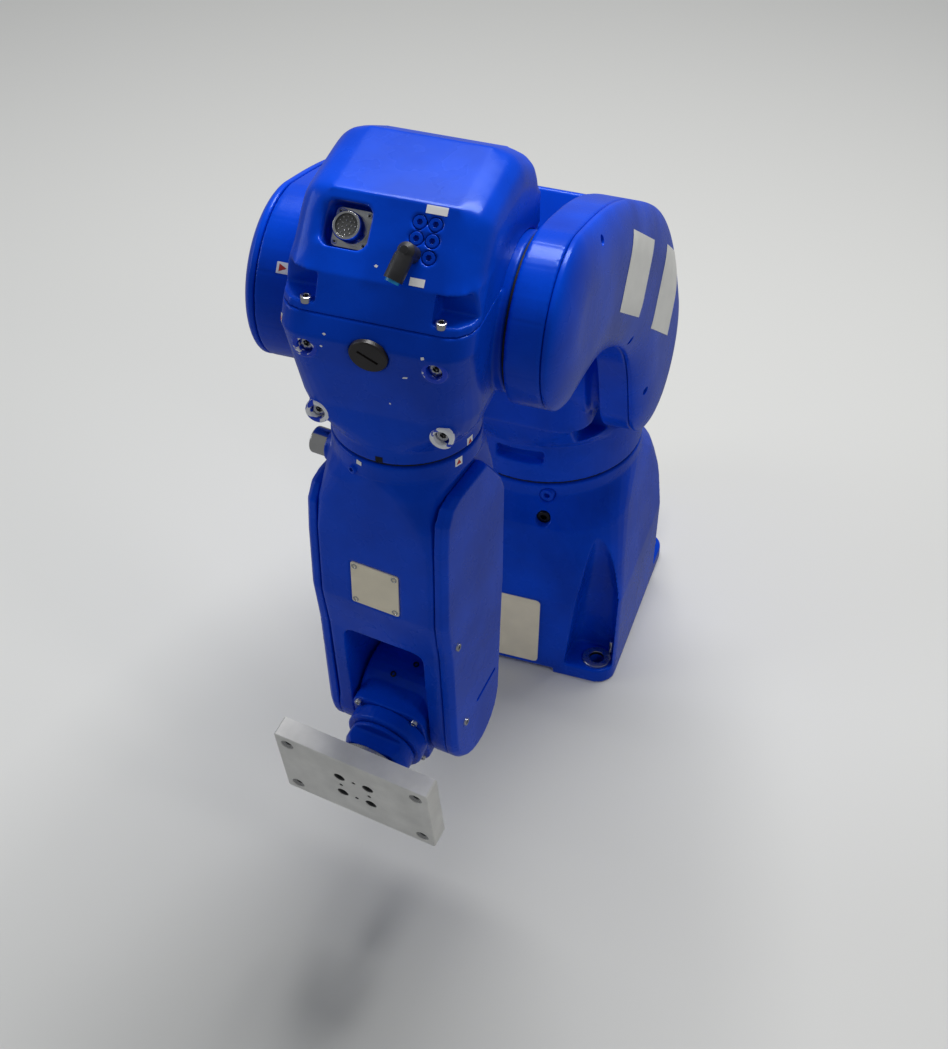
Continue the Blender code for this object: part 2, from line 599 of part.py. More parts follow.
def make_elbow():
    """Housing with the elbow drum, four cored bosses and the roll neck, and the cover over the motors."""
    seam_front = SLOPE_LOW[1] + (SLOPE_LOW[0] - COVER_SEAM) * band_rise()
    seam_corner = (ELBOW_CHAMFER, ELBOW_CHAMFER * math.hypot(1, band_rise()))
    ring_top = FOREARM_OFFSET + ROLL_RING_RADIUS
    ring = (ROLL_RING_RADIUS, ring_top, ROLL_RING_RADIUS - FOREARM_OFFSET, (ROLL_RING_RADIUS, ROLL_RING_RADIUS),
            (ROLL_RING_RADIUS, ROLL_RING_RADIUS))
    rings = []
    for along, half, front, rear, front_corner, rear_corner in (
        (-ELBOW_NECK + GROOVE / 2, *ring),
        (-ELBOW_NECK + 0.012, *ring),
        (-0.048, ELBOW_HALF_WIDTH - 0.006, ring_top + 0.0005, 0.030, (0.034, 0.036), (0.030, 0.030)),
        (FRONT_LOW[0], ELBOW_HALF_WIDTH - 0.0025, FRONT_LOW[1], -REAR_FLAT, (0.031, 0.030), (0.014, 0.014)),
        (FRONT_HIGH[0], ELBOW_HALF_WIDTH, FRONT_HIGH[1], -REAR_FLAT, (0.0195, 0.0205), (0.006, 0.006)),
        (COVER_SEAM, ELBOW_HALF_WIDTH, seam_front, -REAR_FLAT, seam_corner, (0.004, 0.004)),
    ):
        outline = section(half, front, rear, front_corner, rear_corner)
        rings.append([(x, along, z) for x, z in outline])
    housing = solid("elbow_housing", elbow_axis, BLUE, loft(rings))
    join(housing, turned_x(((-JOINT_HALF_WIDTH, ELBOW_DRUM_RADIUS - 0.001),
                            (-JOINT_HALF_WIDTH + 0.001, ELBOW_DRUM_RADIUS),
                            (JOINT_HALF_WIDTH - 0.001, ELBOW_DRUM_RADIUS),
                            (JOINT_HALF_WIDTH, ELBOW_DRUM_RADIUS - 0.001)), 44))
    for x in (-BOSS_X, BOSS_X):
        for y, top in ((BOSS_HIGH_Y, FRONT_HIGH[1] - 0.0015), (BOSS_LOW_Y, FRONT_LOW[1] - 0.001)):
            join(housing, turned_z(((top - 0.034, BOSS_RADIUS + 0.0006), (top - 0.001, BOSS_RADIUS),
                                    (top, BOSS_RADIUS - 0.001)), 18, x, y))
    for x in (-BOSS_X, BOSS_X):
        for y, top in ((BOSS_HIGH_Y, FRONT_HIGH[1] - 0.0015), (BOSS_LOW_Y, FRONT_LOW[1] - 0.001)):
            cut(housing, turned_z(((top - BOSS_BORE_DEPTH, BOSS_BORE), (top + 0.02, BOSS_BORE)), 16, x, y))
    cut(housing, turned_z(((-0.0022, SLOTTED_PLUG_RADIUS + TOUCH), (0.02, SLOTTED_PLUG_RADIUS + TOUCH)), 28),
        parent=plug_face)
    plug = solid("slotted_plug", plug_face, BLACK,
                 turned_z(((-0.0022 + TOUCH, SLOTTED_PLUG_RADIUS), (0.0012, SLOTTED_PLUG_RADIUS),
                           (0.0020, SLOTTED_PLUG_RADIUS - 0.001)), 28))
    cut(plug, box((-0.0075, -0.0010, 0.0004), (0.0075, 0.0010, 0.01)))
    make_top_cover(COVER_SEAM + TOUCH)


def make_top_cover(seam):
    """Cover over the motors, cut round the drum below, with two screw pockets and the connector face."""
    front = SLOPE_LOW[1] + (SLOPE_LOW[0] - seam) * band_rise()
    outline = [(seam, front), SLOPE_LOW, SLOPE_HIGH, CROWN_REAR, REAR_HIGH, (seam, REAR_FLAT)]
    cover = solid("elbow_top_cover", elbow_axis, BLUE,
                  bevelled(along_x(outline, -ELBOW_HALF_WIDTH, ELBOW_HALF_WIDTH), chain_edge, ELBOW_CHAMFER, 3))
    room = ELBOW_DRUM_RADIUS + TOUCH
    cut(cover, turned_x(((-0.09, room), (0.09, room)), 44))
    for side in (-1, 1):
        near = side * (POCKET_SCREW_X - 0.0075)
        far = side * (ELBOW_HALF_WIDTH + 0.010)
        cut(cover, box((min(near, far), seam + POCKET_SCREW_FLANGE, front - POCKET_DEPTH),
                       (max(near, far), seam + POCKET_SCREW_FLANGE + POCKET_LENGTH, 0.120)))
    socket = moved(rounded(SOCKET_WIDTH, SOCKET_HEIGHT, 0.007, 4), SOCKET_ACROSS, SOCKET_UP)
    cut(cover, along_z(socket, -SOCKET_DEPTH, 0.03), parent=connector_face)
    base = along_z(moved(rounded(0.0245, 0.0245, 0.003, 2), SOCKET_ACROSS, SOCKET_UP), -SOCKET_DEPTH + TOUCH,
                   -SOCKET_DEPTH + 0.003)
    connector = solid("multi_pin_connector", connector_face, STEEL, base)
    join(connector, turned_z(((-SOCKET_DEPTH + 0.002, CONNECTOR_RADIUS), (-0.0025, CONNECTOR_RADIUS),
                              (-0.0015, CONNECTOR_RADIUS - 0.0008)), 28, SOCKET_ACROSS, SOCKET_UP))
    cut(connector, turned_z(((-0.0045, CONNECTOR_RADIUS - 0.0022), (0.01, CONNECTOR_RADIUS - 0.0022)), 24,
                            SOCKET_ACROSS, SOCKET_UP))
    number = 0
    for up in AIR_PORT_UP:
        for across in AIR_PORT_ACROSS:
            fitted = up == AIR_PORT_UP[-1] and across == AIR_PORT_ACROSS[0]
            cut(cover, turned_z(((-0.006, AIR_PORT_RADIUS + TOUCH), (0.02, AIR_PORT_RADIUS + TOUCH)), 18, across,
                                up), parent=connector_face)
            if fitted:
                make_fitting(across, up)
                continue
            number += 1
            plug = solid(f"air_port_plug_{number}", connector_face, BLUE,
                         turned_z(((-0.006 + TOUCH, AIR_PORT_RADIUS), (-0.0010, AIR_PORT_RADIUS),
                                   (-0.0004, AIR_PORT_RADIUS - 0.0006)), 18, across, up))
            cut(plug, turned_z(((-0.0030, 0.0020), (0.01, 0.0020)), 6, across, up))


def make_fitting(across, up):
    """Right-angled push-in fitting with its release collar, in the port that is in use."""
    lean = math.radians(14)
    fitting_turn = axis_empty("fitting_turn", (across, up, 0), connector_face, (0, 0, -math.degrees(lean)))
    body = solid("air_fitting", fitting_turn, BLACK,
                 turned_z(((-0.006 + TOUCH, AIR_PORT_RADIUS), (0.0005, AIR_PORT_RADIUS),
                           (0.0005, FITTING_RADIUS), (FITTING_STEM + 0.002, FITTING_RADIUS),
                           (FITTING_STEM + FITTING_RADIUS, FITTING_RADIUS - 0.003)), 18))
    join(body, turned_y(((-FITTING_REACH, FITTING_RADIUS + 0.0006), (-0.004, FITTING_RADIUS + 0.0006),
                         (0.001, FITTING_RADIUS - 0.001)), 18, 0, FITTING_STEM))
    cut(body, turned_y(((-0.03, COLLAR_RADIUS + TOUCH), (-FITTING_REACH + 0.0025, COLLAR_RADIUS + TOUCH)), 18, 0,
                       FITTING_STEM))
    start = -FITTING_REACH + 0.0025 - TOUCH
    collar = solid("air_fitting_collar", fitting_turn, CYAN,
                   turned_y(((start - COLLAR_LENGTH, COLLAR_RADIUS - 0.0004), (start, COLLAR_RADIUS)), 18, 0,
                            FITTING_STEM))
    cut(collar, turned_y(((-0.04, 0.0031), (start - 0.0008, 0.0031)), 16, 0, FITTING_STEM))


def side_cover_outline(top):
    """Outline of a forearm side cover as (y, z): long sides that converge on the round fork end."""
    end = arc(FORK_END_RADIUS, math.pi / 2 + 0.10, 3 * math.pi / 2 - 0.10, 12, -FOREARM_LENGTH)
    return ([(top - 0.040, -FOREARM_REAR + 0.004), (top - 0.028, -FOREARM_REAR + 0.010),
             (top, -FOREARM_REAR + 0.034), (top, 0.030), (top - 0.003, FOREARM_FRONT - 0.011),
             (top - 0.014, FOREARM_FRONT - 0.0035), (top - 0.040, FOREARM_FRONT - 0.0015),
             (WINDOW_Y - 0.020, FOREARM_FRONT - 0.0015), (-FORK_START, FORK_FRONT - 0.001)]
            + end + [(-FORK_START + 0.014, -FOREARM_REAR + 0.004)])


def make_forearm():
    """Round under the roll neck, square down to the fork, with a cover on each side."""
    rings = []
    for along, half, front, rear, corner in (
        (-ELBOW_NECK - GROOVE / 2, ROLL_RING_RADIUS, ROLL_RING_RADIUS, ROLL_RING_RADIUS, ROLL_RING_RADIUS),
        (-0.089, ROLL_RING_RADIUS, ROLL_RING_RADIUS, ROLL_RING_RADIUS, ROLL_RING_RADIUS),
        (-0.100, FOREARM_CORE_HALF, FOREARM_FRONT - 0.0004, 0.0495, 0.028),
        (-0.125, FOREARM_CORE_HALF, FOREARM_FRONT, FOREARM_REAR, 0.010),
        (-0.150, FOREARM_CORE_HALF, FOREARM_FRONT, FOREARM_REAR, 0.004),
        (WINDOW_Y - 0.020, FOREARM_CORE_HALF, FOREARM_FRONT, FOREARM_REAR, 0.004),
        (-FORK_START, FOREARM_CORE_HALF, FORK_FRONT, FOREARM_REAR - 0.005, 0.004),
        (-FOREARM_LENGTH, FOREARM_CORE_HALF, FORK_END_RADIUS, FORK_END_RADIUS, 0.004),
    ):
        ring = moved(rounded(2 * half, front + rear, corner, 6), 0, (front - rear) / 2)
        rings.append([(x, along, z) for x, z in ring])
    casting = solid("forearm_casting", roll_axis, BLUE, loft(rings))
    ends = turned_x(((-FOREARM_CORE_HALF, FORK_END_RADIUS), (FOREARM_CORE_HALF, FORK_END_RADIUS)), 36,
                    -FOREARM_LENGTH)
    hub = turned_y(((-ELBOW_NECK - GROOVE, 0.036), (-ELBOW_NECK + GROOVE / 2 - SEAT, 0.036)), 28)
    join(casting, ends, hub)
    inset = 0.012
    slot = [(-FOREARM_LENGTH - 0.07, -0.08), (-FOREARM_LENGTH - 0.07, 0.08), (-FORK_START, 0.08),
            (-FORK_START, FORK_FRONT - 0.002), (-FORK_START - inset, 0.0), (-FORK_START - inset, -0.08)]
    cut(casting, bevelled(along_x(slot, -FORK_INNER, FORK_INNER),
                          lambda a, b: min(a.y, b.y) > -FORK_START - 0.02 and abs(a.x - b.x) < 1e-5
                          and abs(a.z - b.z) > 0.01, 0.008, 3))
    for side in (-1, 1):
        reach = sorted(((side * (WRIST_HALF_WIDTH + SEAT), 0.020), (side * (FORK_INNER + 0.004), 0.020)))
        join(casting, turned_x(reach, 24, -FOREARM_LENGTH))
    seat = FOREARM_FRONT - 0.0012
    frame = moved(rounded(WINDOW_SIZE + 0.0024, WINDOW_SIZE + 0.0024, 0.002, 2), 0, WINDOW_Y)
    cut(casting, along_z(frame, seat, FOREARM_FRONT + 0.01))
    window = moved(rounded(WINDOW_SIZE, WINDOW_SIZE, 0.0015, 2), 0, WINDOW_Y)
    solid("window_plate", roll_axis, BEIGE, along_z(window, seat + TOUCH, seat + WINDOW_THICK))
    for side, name, top in ((1, "forearm_right_cover", -RIGHT_COVER_TOP),
                            (-1, "forearm_left_cover", -LEFT_COVER_TOP)):
        inner = side * (FOREARM_CORE_HALF + TOUCH)
        shoulder = side * (FOREARM_SIDE - 0.004)
        outline = side_cover_outline(top)
        middle = (WINDOW_Y - 0.035, 0.002)
        slim = [(middle[0] + (y - middle[0]) * 0.985, middle[1] + (z - middle[1]) * 0.91) for y, z in outline]
        rings = [[(inner, y, z) for y, z in outline], [(shoulder, y, z) for y, z in outline],
                 [(side * FOREARM_SIDE, y, z) for y, z in slim]]
        solid(name, roll_axis, BLUE, loft(rings))
    stub = turned_x(((-STUB_REACH, STUB_RADIUS - 0.0008), (-STUB_REACH + 0.0008, STUB_RADIUS),
                     (-0.0500, STUB_RADIUS)), 24, STUB_Y, STUB_Z)
    boss = turned_x(((-0.0497, STUB_RADIUS + 0.002), (-0.030, STUB_RADIUS + 0.004)), 24, STUB_Y, STUB_Z)
    join(casting, boss)
    solid("steel_stub", roll_axis, STEEL, stub)


def make_wrist():
    """Drum between the fork's legs, a bolted nose with a flat-cut cap, the flange and the tool plate."""
    drum = turned_x(((-WRIST_HALF_WIDTH, WRIST_RADIUS - 0.0015), (-WRIST_HALF_WIDTH + 0.0015, WRIST_RADIUS),
                     (WRIST_HALF_WIDTH - 0.0015, WRIST_RADIUS), (WRIST_HALF_WIDTH, WRIST_RADIUS - 0.0015)), 36)
    housing = solid("wrist_housing", bend_axis, BLUE, drum)
    neck = rounded(2 * WRIST_HALF_WIDTH, 2 * NOSE_FLANGE_HALF, 0.012, 4)
    join(housing, along_y(neck, -NOSE_START, -0.004))
    nose = solid("wrist_nose", bend_axis, BLUE,
                 turned_y(((-CAP_START, NOSE_RADIUS - 0.0015), (-CAP_START + 0.0015, NOSE_RADIUS),
                           (-NOSE_START - TOUCH, NOSE_RADIUS)), 36))
    cap = solid("wrist_cap", bend_axis, BLUE,
                turned_y(((-CAP_END, CAP_RADIUS - 0.003), (-CAP_END + 0.006, CAP_RADIUS),
                          (-CAP_START - TOUCH, CAP_RADIUS)), 36))
    cut(cap, box((-0.05, -CAP_END - 0.01, CAP_FLAT), (0.05, -CAP_START - 0.004, 0.05)))
    join(cap, turned_y(((-FLANGE_REACH + FLANGE_THICK + SEAT, 0.016), (-CAP_END + 0.004, 0.016)), 24))
    flange = solid("tool_flange", turn_axis, STEEL,
                   turned_y(((0.0, FLANGE_RADIUS), (FLANGE_THICK - 0.0008, FLANGE_RADIUS),
                             (FLANGE_THICK, FLANGE_RADIUS - 0.0008)), 36))
    cut(flange, turned_y(((-0.01, 0.004), (0.002, 0.004)), 16))
    plate = solid("tool_plate", turn_axis, ALUMINIUM,
                  bevelled(along_y(rounded(PLATE_WIDTH, PLATE_HEIGHT, 0.0012, 1), -TOUCH - PLATE_THICK, -TOUCH),
                           lambda a, b: a.y < -PLATE_THICK and b.y < -PLATE_THICK, 0.0006, 1))
    half = PLATE_HOLE_PITCH / 2
    holes = [(x, z, PLATE_HOLE_RADIUS) for x in (-half, half) for z in (-half, half)]
    holes += [(-half, 0, 0.0016), (half, 0, 0.0016), (0, half, 0.0016), (0, -half, 0.0016)]
    corner_x = PLATE_WIDTH / 2 - PLATE_CORNER_INSET
    corner_z = PLATE_HEIGHT / 2 - PLATE_CORNER_INSET
    holes += [(x, z, 0.0028) for x in (-corner_x, corner_x) for z in (-corner_z, corner_z)]
    for x, z, radius in holes:
        depth = -TOUCH - PLATE_THICK + (0.010 if radius == PLATE_HOLE_RADIUS else 0.008)
        cut(plate, turned_y(((-0.03, radius), (depth, radius)), 14, x, z))


make_base()
make_swivel()
make_lower_arm()
make_elbow()
make_forearm()
make_wrist()
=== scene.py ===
"""Looks of the compact six-axis robot arm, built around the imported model. Metres, +Z up, arm facing -Y."""

import json
import math

import bmesh
import bpy
import numpy as np
from mathutils import Euler, Matrix, Vector
from mathutils.bvhtree import BVHTree
from mathutils.kdtree import KDTree


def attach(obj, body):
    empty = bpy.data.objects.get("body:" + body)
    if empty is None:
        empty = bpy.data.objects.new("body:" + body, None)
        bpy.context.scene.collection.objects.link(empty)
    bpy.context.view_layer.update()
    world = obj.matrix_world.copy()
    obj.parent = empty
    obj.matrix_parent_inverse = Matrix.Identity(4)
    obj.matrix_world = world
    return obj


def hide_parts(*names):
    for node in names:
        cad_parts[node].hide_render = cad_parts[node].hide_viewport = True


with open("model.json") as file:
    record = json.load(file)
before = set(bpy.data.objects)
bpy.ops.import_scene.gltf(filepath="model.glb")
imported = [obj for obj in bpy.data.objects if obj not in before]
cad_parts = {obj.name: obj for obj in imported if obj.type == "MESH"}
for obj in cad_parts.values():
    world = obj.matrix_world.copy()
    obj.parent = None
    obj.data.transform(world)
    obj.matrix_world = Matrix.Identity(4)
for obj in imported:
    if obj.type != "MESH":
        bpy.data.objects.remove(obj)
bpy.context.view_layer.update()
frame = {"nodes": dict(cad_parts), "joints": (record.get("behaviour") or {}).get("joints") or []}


# Camera and studio: a long lens above the right front of the arm, a pale floor that takes its shadow, a wide
# lamp overhead, a small one at the right and a low fill from the left. The paint doesn't mirror the floor.
FOCAL_PIXELS = 1815.1
PHOTO_PIXELS = 1049
SENSOR = 36
CAMERA_PLACE = (0.3455, -1.2457, 1.2262)
CAMERA_DIP = 0.72885
CAMERA_TURN = 0.32166
CAMERA_ROLL = 0.00284
FLOOR_REACH = 9
ARM_MIDDLE = (0, -0.2, 0.35)


def lamp(name, place, aim, width, height, power, tint=(1, 1, 1), reflected=True):
    """Rectangular lamp at a place, turned to a point, mirrored by the paint or not."""
    light = bpy.data.lights.new(name, "AREA")
    light.shape = "RECTANGLE"
    light.size = width
    light.size_y = height
    light.energy = power
    light.color = tint
    obj = bpy.data.objects.new(name, light)
    obj.location = place
    obj.rotation_euler = (Vector(aim) - Vector(place)).to_track_quat("-Z", "Y").to_euler()
    obj.visible_glossy = reflected
    bpy.context.scene.collection.objects.link(obj)


camera = bpy.data.objects.new("camera", bpy.data.cameras.new("camera"))
camera.data.sensor_width = SENSOR
camera.data.lens = FOCAL_PIXELS * SENSOR / PHOTO_PIXELS
camera.data.clip_end = 40
facing = Euler((math.pi / 2 - CAMERA_DIP, 0, CAMERA_TURN)).to_matrix() @ Matrix.Rotation(CAMERA_ROLL, 3, "Z")
camera.matrix_world = Matrix.Translation(CAMERA_PLACE) @ facing.to_4x4()
bpy.context.scene.collection.objects.link(camera)
bpy.context.scene.camera = camera

floor_finish = bpy.data.materials.new("studio_floor")
floor_finish.use_nodes = True
floor_shader = floor_finish.node_tree.nodes["Principled BSDF"]
floor_shader.inputs["Base Color"].default_value = (0.62, 0.62, 0.60, 1)
floor_shader.inputs["Roughness"].default_value = 0.85
floor_mesh = bpy.data.meshes.new("floor")
corners = [(x * FLOOR_REACH, y * FLOOR_REACH, 0) for x, y in ((-1, -1), (1, -1), (1, 1), (-1, 1))]
floor_mesh.from_pydata(corners, [], [(0, 1, 2, 3)])
floor_mesh.materials.append(floor_finish)
floor = bpy.data.objects.new("floor", floor_mesh)
bpy.context.scene.collection.objects.link(floor)
floor.visible_glossy = False

world = bpy.data.worlds.new("studio")
world.use_nodes = True
world.node_tree.nodes["Background"].inputs["Color"].default_value = (0.80, 0.83, 0.88, 1)
world.node_tree.nodes["Background"].inputs["Strength"].default_value = 0.22
bpy.context.scene.world = world
lamp("overhead", (0.05, 0.50, 2.1), (0, -0.2, 0.4), 1.3, 0.7, 44)
lamp("right_front", (1.5, -1.1, 1.6), ARM_MIDDLE, 0.3, 0.6, 5, (1.0, 0.97, 0.93), False)
lamp("left_fill", (-1.7, -0.7, 1.1), ARM_MIDDLE, 0.8, 1.0, 6, (0.92, 0.96, 1.0))
bpy.context.scene.view_settings.view_transform = "Standard"


# Frames of the moving bodies: each stands on its joint, turned as the body is in the photograph's pose, and
# holds the places of the small pieces in millimetres. From the elbow on, -Y runs down the arm to the tool.
LOWER_ARM_LEAN = 52
FOREARM_DROP = 90
FOREARM_ROLL = 8.5
WRIST_BEND = 77
FLANGE_TURN = -2.5


def joint_place(name):
    """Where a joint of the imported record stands."""
    return Vector(next(joint["pos_m"] for joint in frame["joints"] if joint["name"] == name))


def turned_about(axis, degrees):
    """Rotation about one axis."""
    return Matrix.Rotation(math.radians(degrees), 4, axis)


def joint_frame(joint, carrier, axis, degrees):
    """Frame on a joint, turned about one axis of the frame that carries it."""
    return Matrix.Translation(joint_place(joint)) @ carrier.to_3x3().to_4x4() @ turned_about(axis, degrees)


GROUND = Matrix.Identity(4)
LOWER = joint_frame("shoulder_lean", GROUND, "X", LOWER_ARM_LEAN)
ELBOW = joint_frame("elbow_lift", GROUND, "X", FOREARM_DROP)
FOREARM = joint_frame("forearm_roll", ELBOW, "Y", -FOREARM_ROLL)
WRIST = joint_frame("wrist_bend", FOREARM, "X", -WRIST_BEND)
TOOL = joint_frame("flange_turn", WRIST, "Y", -FLANGE_TURN)


# Painted castings: sand-cast aluminium under a thick coat of glossy blue enamel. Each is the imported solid
# with its edges run soft, as the mould's fillets and the paint leave them.
def noise(nodes, links, scale, detail, source, distortion=0.0):
    """Noise on object coordinates."""
    texture = nodes.new("ShaderNodeTexNoise")
    texture.inputs["Scale"].default_value = scale
    texture.inputs["Detail"].default_value = detail
    texture.inputs["Distortion"].default_value = distortion
    links.new(source, texture.inputs["Vector"])
    return texture.outputs["Fac"]


def stretched(nodes, links, source, scale, turn=(0, 0, 0)):
    """Object coordinates stretched, and turned to a piece's own axes."""
    mapping = nodes.new("ShaderNodeMapping")
    mapping.inputs["Rotation"].default_value = turn
    mapping.inputs["Scale"].default_value = scale
    links.new(source, mapping.inputs["Vector"])
    return mapping.outputs["Vector"]


def ramp(nodes, links, source, low, high, first, second):
    """Runs from colour first to colour second between two values."""
    blend = nodes.new("ShaderNodeValToRGB")
    blend.color_ramp.elements[0].position = low
    blend.color_ramp.elements[1].position = high
    blend.color_ramp.elements[0].color = (*first, 1)
    blend.color_ramp.elements[1].color = (*second, 1)
    links.new(source, blend.inputs["Fac"])
    return blend.outputs["Color"]


def mixed(nodes, links, share, first, second):
    """Colour first where share is 0, and second where it is 1."""
    mix = nodes.new("ShaderNodeMix")
    mix.data_type = "RGBA"
    links.new(share, mix.inputs["Factor"])
    for socket, value in ((mix.inputs[6], first), (mix.inputs[7], second)):
        if isinstance(value, tuple):
            socket.default_value = (*value, 1)
        else:
            links.new(value, socket)
    return mix.outputs[2]


def bump(nodes, links, height, strength, distance, shader):
    """Bump on the shader, or on the bump that it has."""
    node = nodes.new("ShaderNodeBump")
    node.inputs["Strength"].default_value = strength
    node.inputs["Distance"].default_value = distance
    links.new(height, node.inputs["Height"])
    if shader.inputs["Normal"].is_linked:
        links.new(shader.inputs["Normal"].links[0].from_socket, node.inputs["Normal"])
    links.new(node.outputs["Normal"], shader.inputs["Normal"])


def blank_finish(name):
    """New material, with its nodes and links, its shader and the object coordinates."""
    material = bpy.data.materials.new(name)
    material.use_nodes = True
    nodes = material.node_tree.nodes
    links = material.node_tree.links
    place = nodes.new("ShaderNodeTexCoord").outputs["Object"]
    return material, nodes, links, nodes["Principled BSDF"], place


def enamel(name, deep, bright, grit):
    """Blue enamel: cloudy depth, a few faint scuffs, orange peel over the grain of the casting."""
    material, nodes, links, shader, place = blank_finish(name)
    depth = ramp(nodes, links, noise(nodes, links, 16, 4, place), 0.35, 0.68, deep, bright)
    streaks = noise(nodes, links, 26, 5, stretched(nodes, links, place, (1, 4.5, 1), (0.5, 0.3, 0.7)), 1.2)
    scuffs = ramp(nodes, links, streaks, 0.70, 0.84, (0, 0, 0), (0.10, 0.10, 0.10))
    links.new(mixed(nodes, links, scuffs, depth, (0.05, 0.14, 0.55)), shader.inputs["Base Color"])
    gloss = ramp(nodes, links, noise(nodes, links, 38, 3, place), 0.3, 0.7, (0.24,) * 3, (0.31,) * 3)
    links.new(gloss, shader.inputs["Roughness"])
    shader.inputs["Coat Weight"].default_value = 0.10
    shader.inputs["Coat Roughness"].default_value = 0.06
    shader.inputs["Specular IOR Level"].default_value = 0.34
    shader.inputs["Specular Tint"].default_value = (0.16, 0.36, 1.0, 1)
    bump(nodes, links, noise(nodes, links, 260, 2, place), 0.08, grit, shader)
    bump(nodes, links, noise(nodes, links, 900, 2, place), 0.05, grit / 2, shader)
    return material


BLUE = enamel("blue_enamel", (0.0, 0.040, 0.46), (0.0, 0.060, 0.64), 0.0006)
COVER_BLUE = enamel("blue_cover_enamel", (0.0, 0.044, 0.50), (0.0, 0.066, 0.70), 0.0004)
SHELLS = {}
WELD = 2e-6
CUTTER_ABOVE = 8.0
CUTTER_TAPER = 0.92
CUTTER_STEPS = 10


def slot_cutter(body_frame, start, end, width, direction, depth):
    """Closed block with round ends, from above the surface to a depth, between two points in millimetres.

    It narrows a little towards its floor, and is a round one where the two points are the same."""
    outward = np.array(direction, float) / np.linalg.norm(direction)
    start, end = np.array(start, float), np.array(end, float)
    along = end - start - outward * (outward @ (end - start))
    length = np.linalg.norm(along)
    if length < 1e-6:
        along = np.cross(outward, (0.3, 0.5, 0.8))
        length = 0.0
    along = along / np.linalg.norm(along)
    across = np.cross(outward, along)
    middle, half = (start + end) / 2, width / 2
    outline = [(length / 2 + half * math.cos(turn), half * math.sin(turn))
               for turn in np.linspace(-math.pi / 2, math.pi / 2, CUTTER_STEPS)]
    outline += [(-u, -v) for u, v in outline]
    matrix = np.array(body_frame)
    verts = []
    for level, share in ((CUTTER_ABOVE, 1.0), (-depth, CUTTER_TAPER)):
        for u, v in outline:
            local = middle + along * u * share + across * v * share + outward * level
            verts.append(tuple(matrix[:3, :3] @ (local / 1000) + matrix[:3, 3]))
    count = len(outline)
    faces = [(i, (i + 1) % count, count + (i + 1) % count, count + i) for i in range(count)]
    faces += [tuple(range(count))[::-1], tuple(range(count, 2 * count))]
    mesh = bpy.data.meshes.new("cutter")
    mesh.from_pydata(verts, [], faces)
    work = bmesh.new()
    work.from_mesh(mesh)
    bmesh.ops.recalc_face_normals(work, faces=work.faces)
    work.to_mesh(mesh)
    work.free()
    return mesh


def carved(piece, cutters, solver="MANIFOLD"):
    """Applies a piece's modifiers and cuts closed blocks out of it."""
    holes = []
    for cutter in cutters:
        hole = bpy.data.objects.new("cutter", cutter)
        bpy.context.scene.collection.objects.link(hole)
        carve = piece.modifiers.new("carve", "BOOLEAN")
        carve.operation = "DIFFERENCE"
        carve.solver = solver
        carve.object = hole
        holes.append(hole)
    finished = bpy.data.meshes.new_from_object(piece.evaluated_get(bpy.context.evaluated_depsgraph_get()))
    finished.name = piece.name
    piece.modifiers.clear()
    piece.data = finished
    for hole in holes:
        bpy.data.objects.remove(hole, do_unlink=True)
    return finished


def soft_casting(node, body, material, voxel, rounds, share, cutters=(), reshape=None):
    """The solid of a node, resampled on a fine grid, its edges relaxed, thinned where flat, then cut.

    reshape moves the finished points, given as an array with their edges, where a curve is to run truer."""
    mesh = frame["nodes"][node].data.copy()
    work = bmesh.new()
    work.from_mesh(mesh)
    bmesh.ops.remove_doubles(work, verts=work.verts, dist=WELD)
    work.to_mesh(mesh)
    work.free()
    mesh.materials.clear()
    piece = bpy.data.objects.new(f"{node}_shell", mesh)
    bpy.context.scene.collection.objects.link(piece)
    remesh = piece.modifiers.new("grid", "REMESH")
    remesh.mode = "VOXEL"
    remesh.voxel_size = voxel
    relax = piece.modifiers.new("relax", "SMOOTH")
    relax.factor = 0.5
    relax.iterations = rounds
    thin = piece.modifiers.new("thin", "DECIMATE")
    thin.ratio = share
    finished = carved(piece, cutters)
    if reshape:
        points = np.empty(len(finished.vertices) * 3)
        finished.vertices.foreach_get("co", points)
        pairs = np.empty(len(finished.edges) * 2, dtype=np.int32)
        finished.edges.foreach_get("vertices", pairs)
        points = reshape(points.reshape(-1, 3), pairs.reshape(-1, 2))
        finished.vertices.foreach_set("co", points.reshape(-1))
        finished.update()
    finished.shade_smooth()
    if cutters:
        finished.set_sharp_from_angle(angle=math.radians(50))
    finished.materials.clear()
    finished.materials.append(material)
    weighted = piece.modifiers.new("flats", "WEIGHTED_NORMAL")
    weighted.weight = 50
    weighted.keep_sharp = bool(cutters)
    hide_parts(node)
    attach(piece, body)
    SHELLS[node] = piece


ROUND_NEAR = 1.5
ROUND_FAR = 3.0


def true_rounds(*cylinders):
    """Draws points of the solid's many-sided cylinders out to the true circle.

    A cylinder is its frame, axis number, span along it, centre across it, radius in millimetres and sides.
    Points up to ROUND_NEAR from the flat go all the way, and points past ROUND_FAR stay."""
    def reshape(points, pairs):
        for body_frame, axis, span, centre, radius, sides in cylinders:
            matrix = np.array(body_frame)
            local = (points - matrix[:3, 3]) @ matrix[:3, :3] * 1000
            first, second = [number for number in range(3) if number != axis]
            across = local[:, first] - centre[0]
            along = local[:, second] - centre[1]
            reach = np.hypot(across, along)
            angle = np.arctan2(along, across) % (2 * np.pi / sides)
            flat = radius * math.cos(math.pi / sides) / np.cos(angle - np.pi / sides)
            weight = np.clip((ROUND_FAR - np.abs(reach - flat)) / (ROUND_FAR - ROUND_NEAR), 0, 1)
            weight *= (local[:, axis] > span[0]) & (local[:, axis] < span[1])
            factor = 1 + weight * (radius / flat - 1)
            local[:, first] = centre[0] + across * factor
            local[:, second] = centre[1] + along * factor
            points = local / 1000 @ matrix[:3, :3].T + matrix[:3, 3]
        return points
    return reshape


